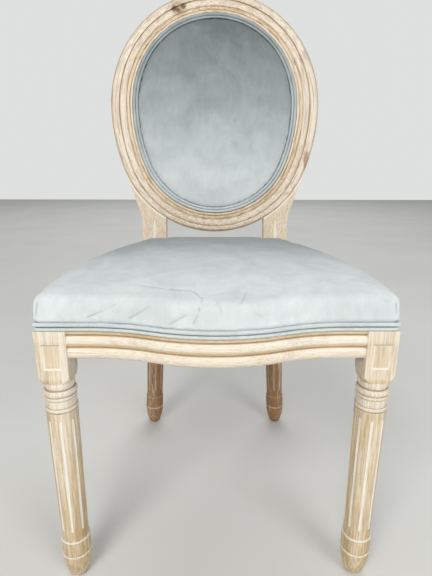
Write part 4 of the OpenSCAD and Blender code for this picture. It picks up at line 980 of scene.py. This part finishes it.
def webbingStraps():
    points, faces, area = [], [], 0
    straps = [(way, place, i) for way in ("across", "along") for i, place in enumerate(webbing[way])]
    for way, place, index in straps:
        across = way == "across"
        if across:
            start, end, crossings = -halfWidthAt(place), halfWidthAt(place), webbing["along"]
        else:
            start, end, crossings = frontAt(place), webbing["rearY"], webbing["across"]
        run = np.linspace(start, end, webbing["points"])
        lift = np.zeros(len(run))
        for number, crossing in enumerate(crossings):
            over = 1 if (number + index) % 2 == across else -1
            far = np.abs(run - crossing) / (webbing["width"] / 2)
            lift += over * webbing["lift"] * np.clip(1.6 - far, 0, 1)
        first = len(points)
        for at, up in zip(run, webbing["level"] + lift):
            for side in (-0.5, 0.5):
                off = place + side * webbing["width"]
                points.append((at, off, up) if across else (off, at, up))
        for a in range(first, first + 2 * len(run) - 2, 2):
            faces.append((a, a + 2, a + 3, a + 1) if across else (a, a + 1, a + 3, a + 2))
        area += (end - start) * webbing["width"] / 1e6
    piece = newMesh("webbingStraps", inFrame(points), faces, jute)
    workIn(piece, "SOLIDIFY", {"thickness": webbing["thickness"] / 1000, "offset": 0.0})
    return piece, area


webbingPiece, webbingArea = webbingStraps()
print("webbing made")


# Staples of the dust cover: the tree puts one every few centimetres along the hem, turned to follow it
stapling = dict(share=0.028, under=1.1, sizes={"Spacing": 0.038, "Crown": 0.010, "Wire": 0.0008})


def stapleTree():
    tree, given = newTree("stapledHem", stapling["sizes"], "Metal", "Staples")
    spaced = addNode(tree, "GeometryNodeCurveToPoints", given["Path"],
                     {"mode": "LENGTH", "Length": given["Spacing"]}, out=None)
    size = addNode(tree, "CombineXYZ", given["Wire"], given["Wire"], given["Crown"])
    wire = addNode(tree, "GeometryNodeMeshCube", size)
    rows = addNode(tree, "GeometryNodeInstanceOnPoints", {"Points": spaced["Points"], "Instance": wire,
                                                          "Rotation": spaced["Rotation"]})
    return closeTree(tree, rows, given["Metal"])


def stapleRow(edge):
    inner = edge + (np.array(dustCover["middle"]) - edge) * stapling["share"]
    line = inFrame(atLevel(inner, dustCover["level"] - stapling["under"]))
    return runTree(pathCurve("dustCoverStaples", [line], True), stapleTree(), {"Metal": platedSteel})


staples = stapleRow(dustEdge)
print("staples made")

# What each piece rides on, what it stands for, and the name of its finish's slot
for piece, stood, slotName in (
        (seatPiece, ("seat_cover", "seat_foam"), "velvet"), (backPiece, ("back_cover", "back_foam"), "velvet"),
        (outsidePiece, ("outside_back_cover",), "velvet"), (ledgeCords, ("seat_welt",), "welt_velvet"),
        (backCords, ("back_welt",), "welt_velvet"), (outsideCords, ("outside_back_welt",), "welt_velvet"),
        (dustPiece, ("dust_cover",), "black_cambric"), (webbingPiece, ("seat_webbing",), "jute"),
        (staples, (), "screw_steel")):
    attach(piece, "root")
    if stood:
        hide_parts(*stood)


# Studio: pale painted floor, soft lights and the camera of the photograph
studio = dict(lights=[("keyLight", (-0.9, -2.3, 2.2), (0, 0, 0.5), 1.4, 43.0, "#FFFDF8"),
                      ("fillLight", (1.5, -2.2, 1.6), (0, 0, 0.5), 1.4, 24.0, "#FBFCFF"),
                      ("rimLight", (0.3, 1.8, 2.2), (0, 0, 0.5), 1.6, 6.0, "#FFFFFF"),
                      ("topLight", (0.0, 4.5, 4.5), (0, 4.5, 0), 6.0, 110.0, "#FFFFFF")],
              world="#F6F7F7", worldStrength=0.30, wallStrength=0.8, floorReach=8)
photoCamera = dict(place=(-0.0071, -0.8094, 0.6352), lens=26.918, pitch=15.714, yaw=0.539, roll=-0.122)

paintedFloor = plainMaterial("paintedFloor", spots(2.0, 2.0), [(0.3, "#E4E4E1"), (0.7, "#EAEAE7")], 0.9)
reach = studio["floorReach"]
newMesh("floor", [(-reach, -reach, 0), (reach, -reach, 0), (reach, reach, 0), (-reach, reach, 0)],
                 [(0, 1, 2, 3)], paintedFloor)
for label, place, aim, size, power, code in studio["lights"]:
    lamp = bpy.data.lights.new(label, "AREA")
    lamp.shape, lamp.size, lamp.energy = "DISK", size, power
    lamp.color = linearColour(code)[:3]
    holder = placed(label, lamp)
    holder.location = place
    holder.rotation_euler = (Vector(aim) - Vector(place)).to_track_quat("-Z", "Y").to_euler()
world = bpy.data.worlds.new("studio")
world.use_nodes = True
seen = addNode(world.node_tree, "LightPath", out="Is Camera Ray")
strength = addNode(world.node_tree, "MapRange", seen, 0, 1, studio["worldStrength"], studio["wallStrength"])
setNode(world.node_tree.nodes["Background"], {"Color": linearColour(studio["world"]), "Strength": strength})
scene.world = world
scene.view_settings.view_transform = "Standard"

lens = bpy.data.cameras.new("photoCamera")
lens.lens, lens.sensor_width, lens.sensor_fit = photoCamera["lens"], 36.0, "AUTO"
camera = placed("photoCamera", lens)
camera.location = photoCamera["place"]
camera.rotation_euler = [math.radians(angle) for angle in (90 - photoCamera["pitch"], photoCamera["roll"],
                                                           -photoCamera["yaw"])]
scene.camera = camera
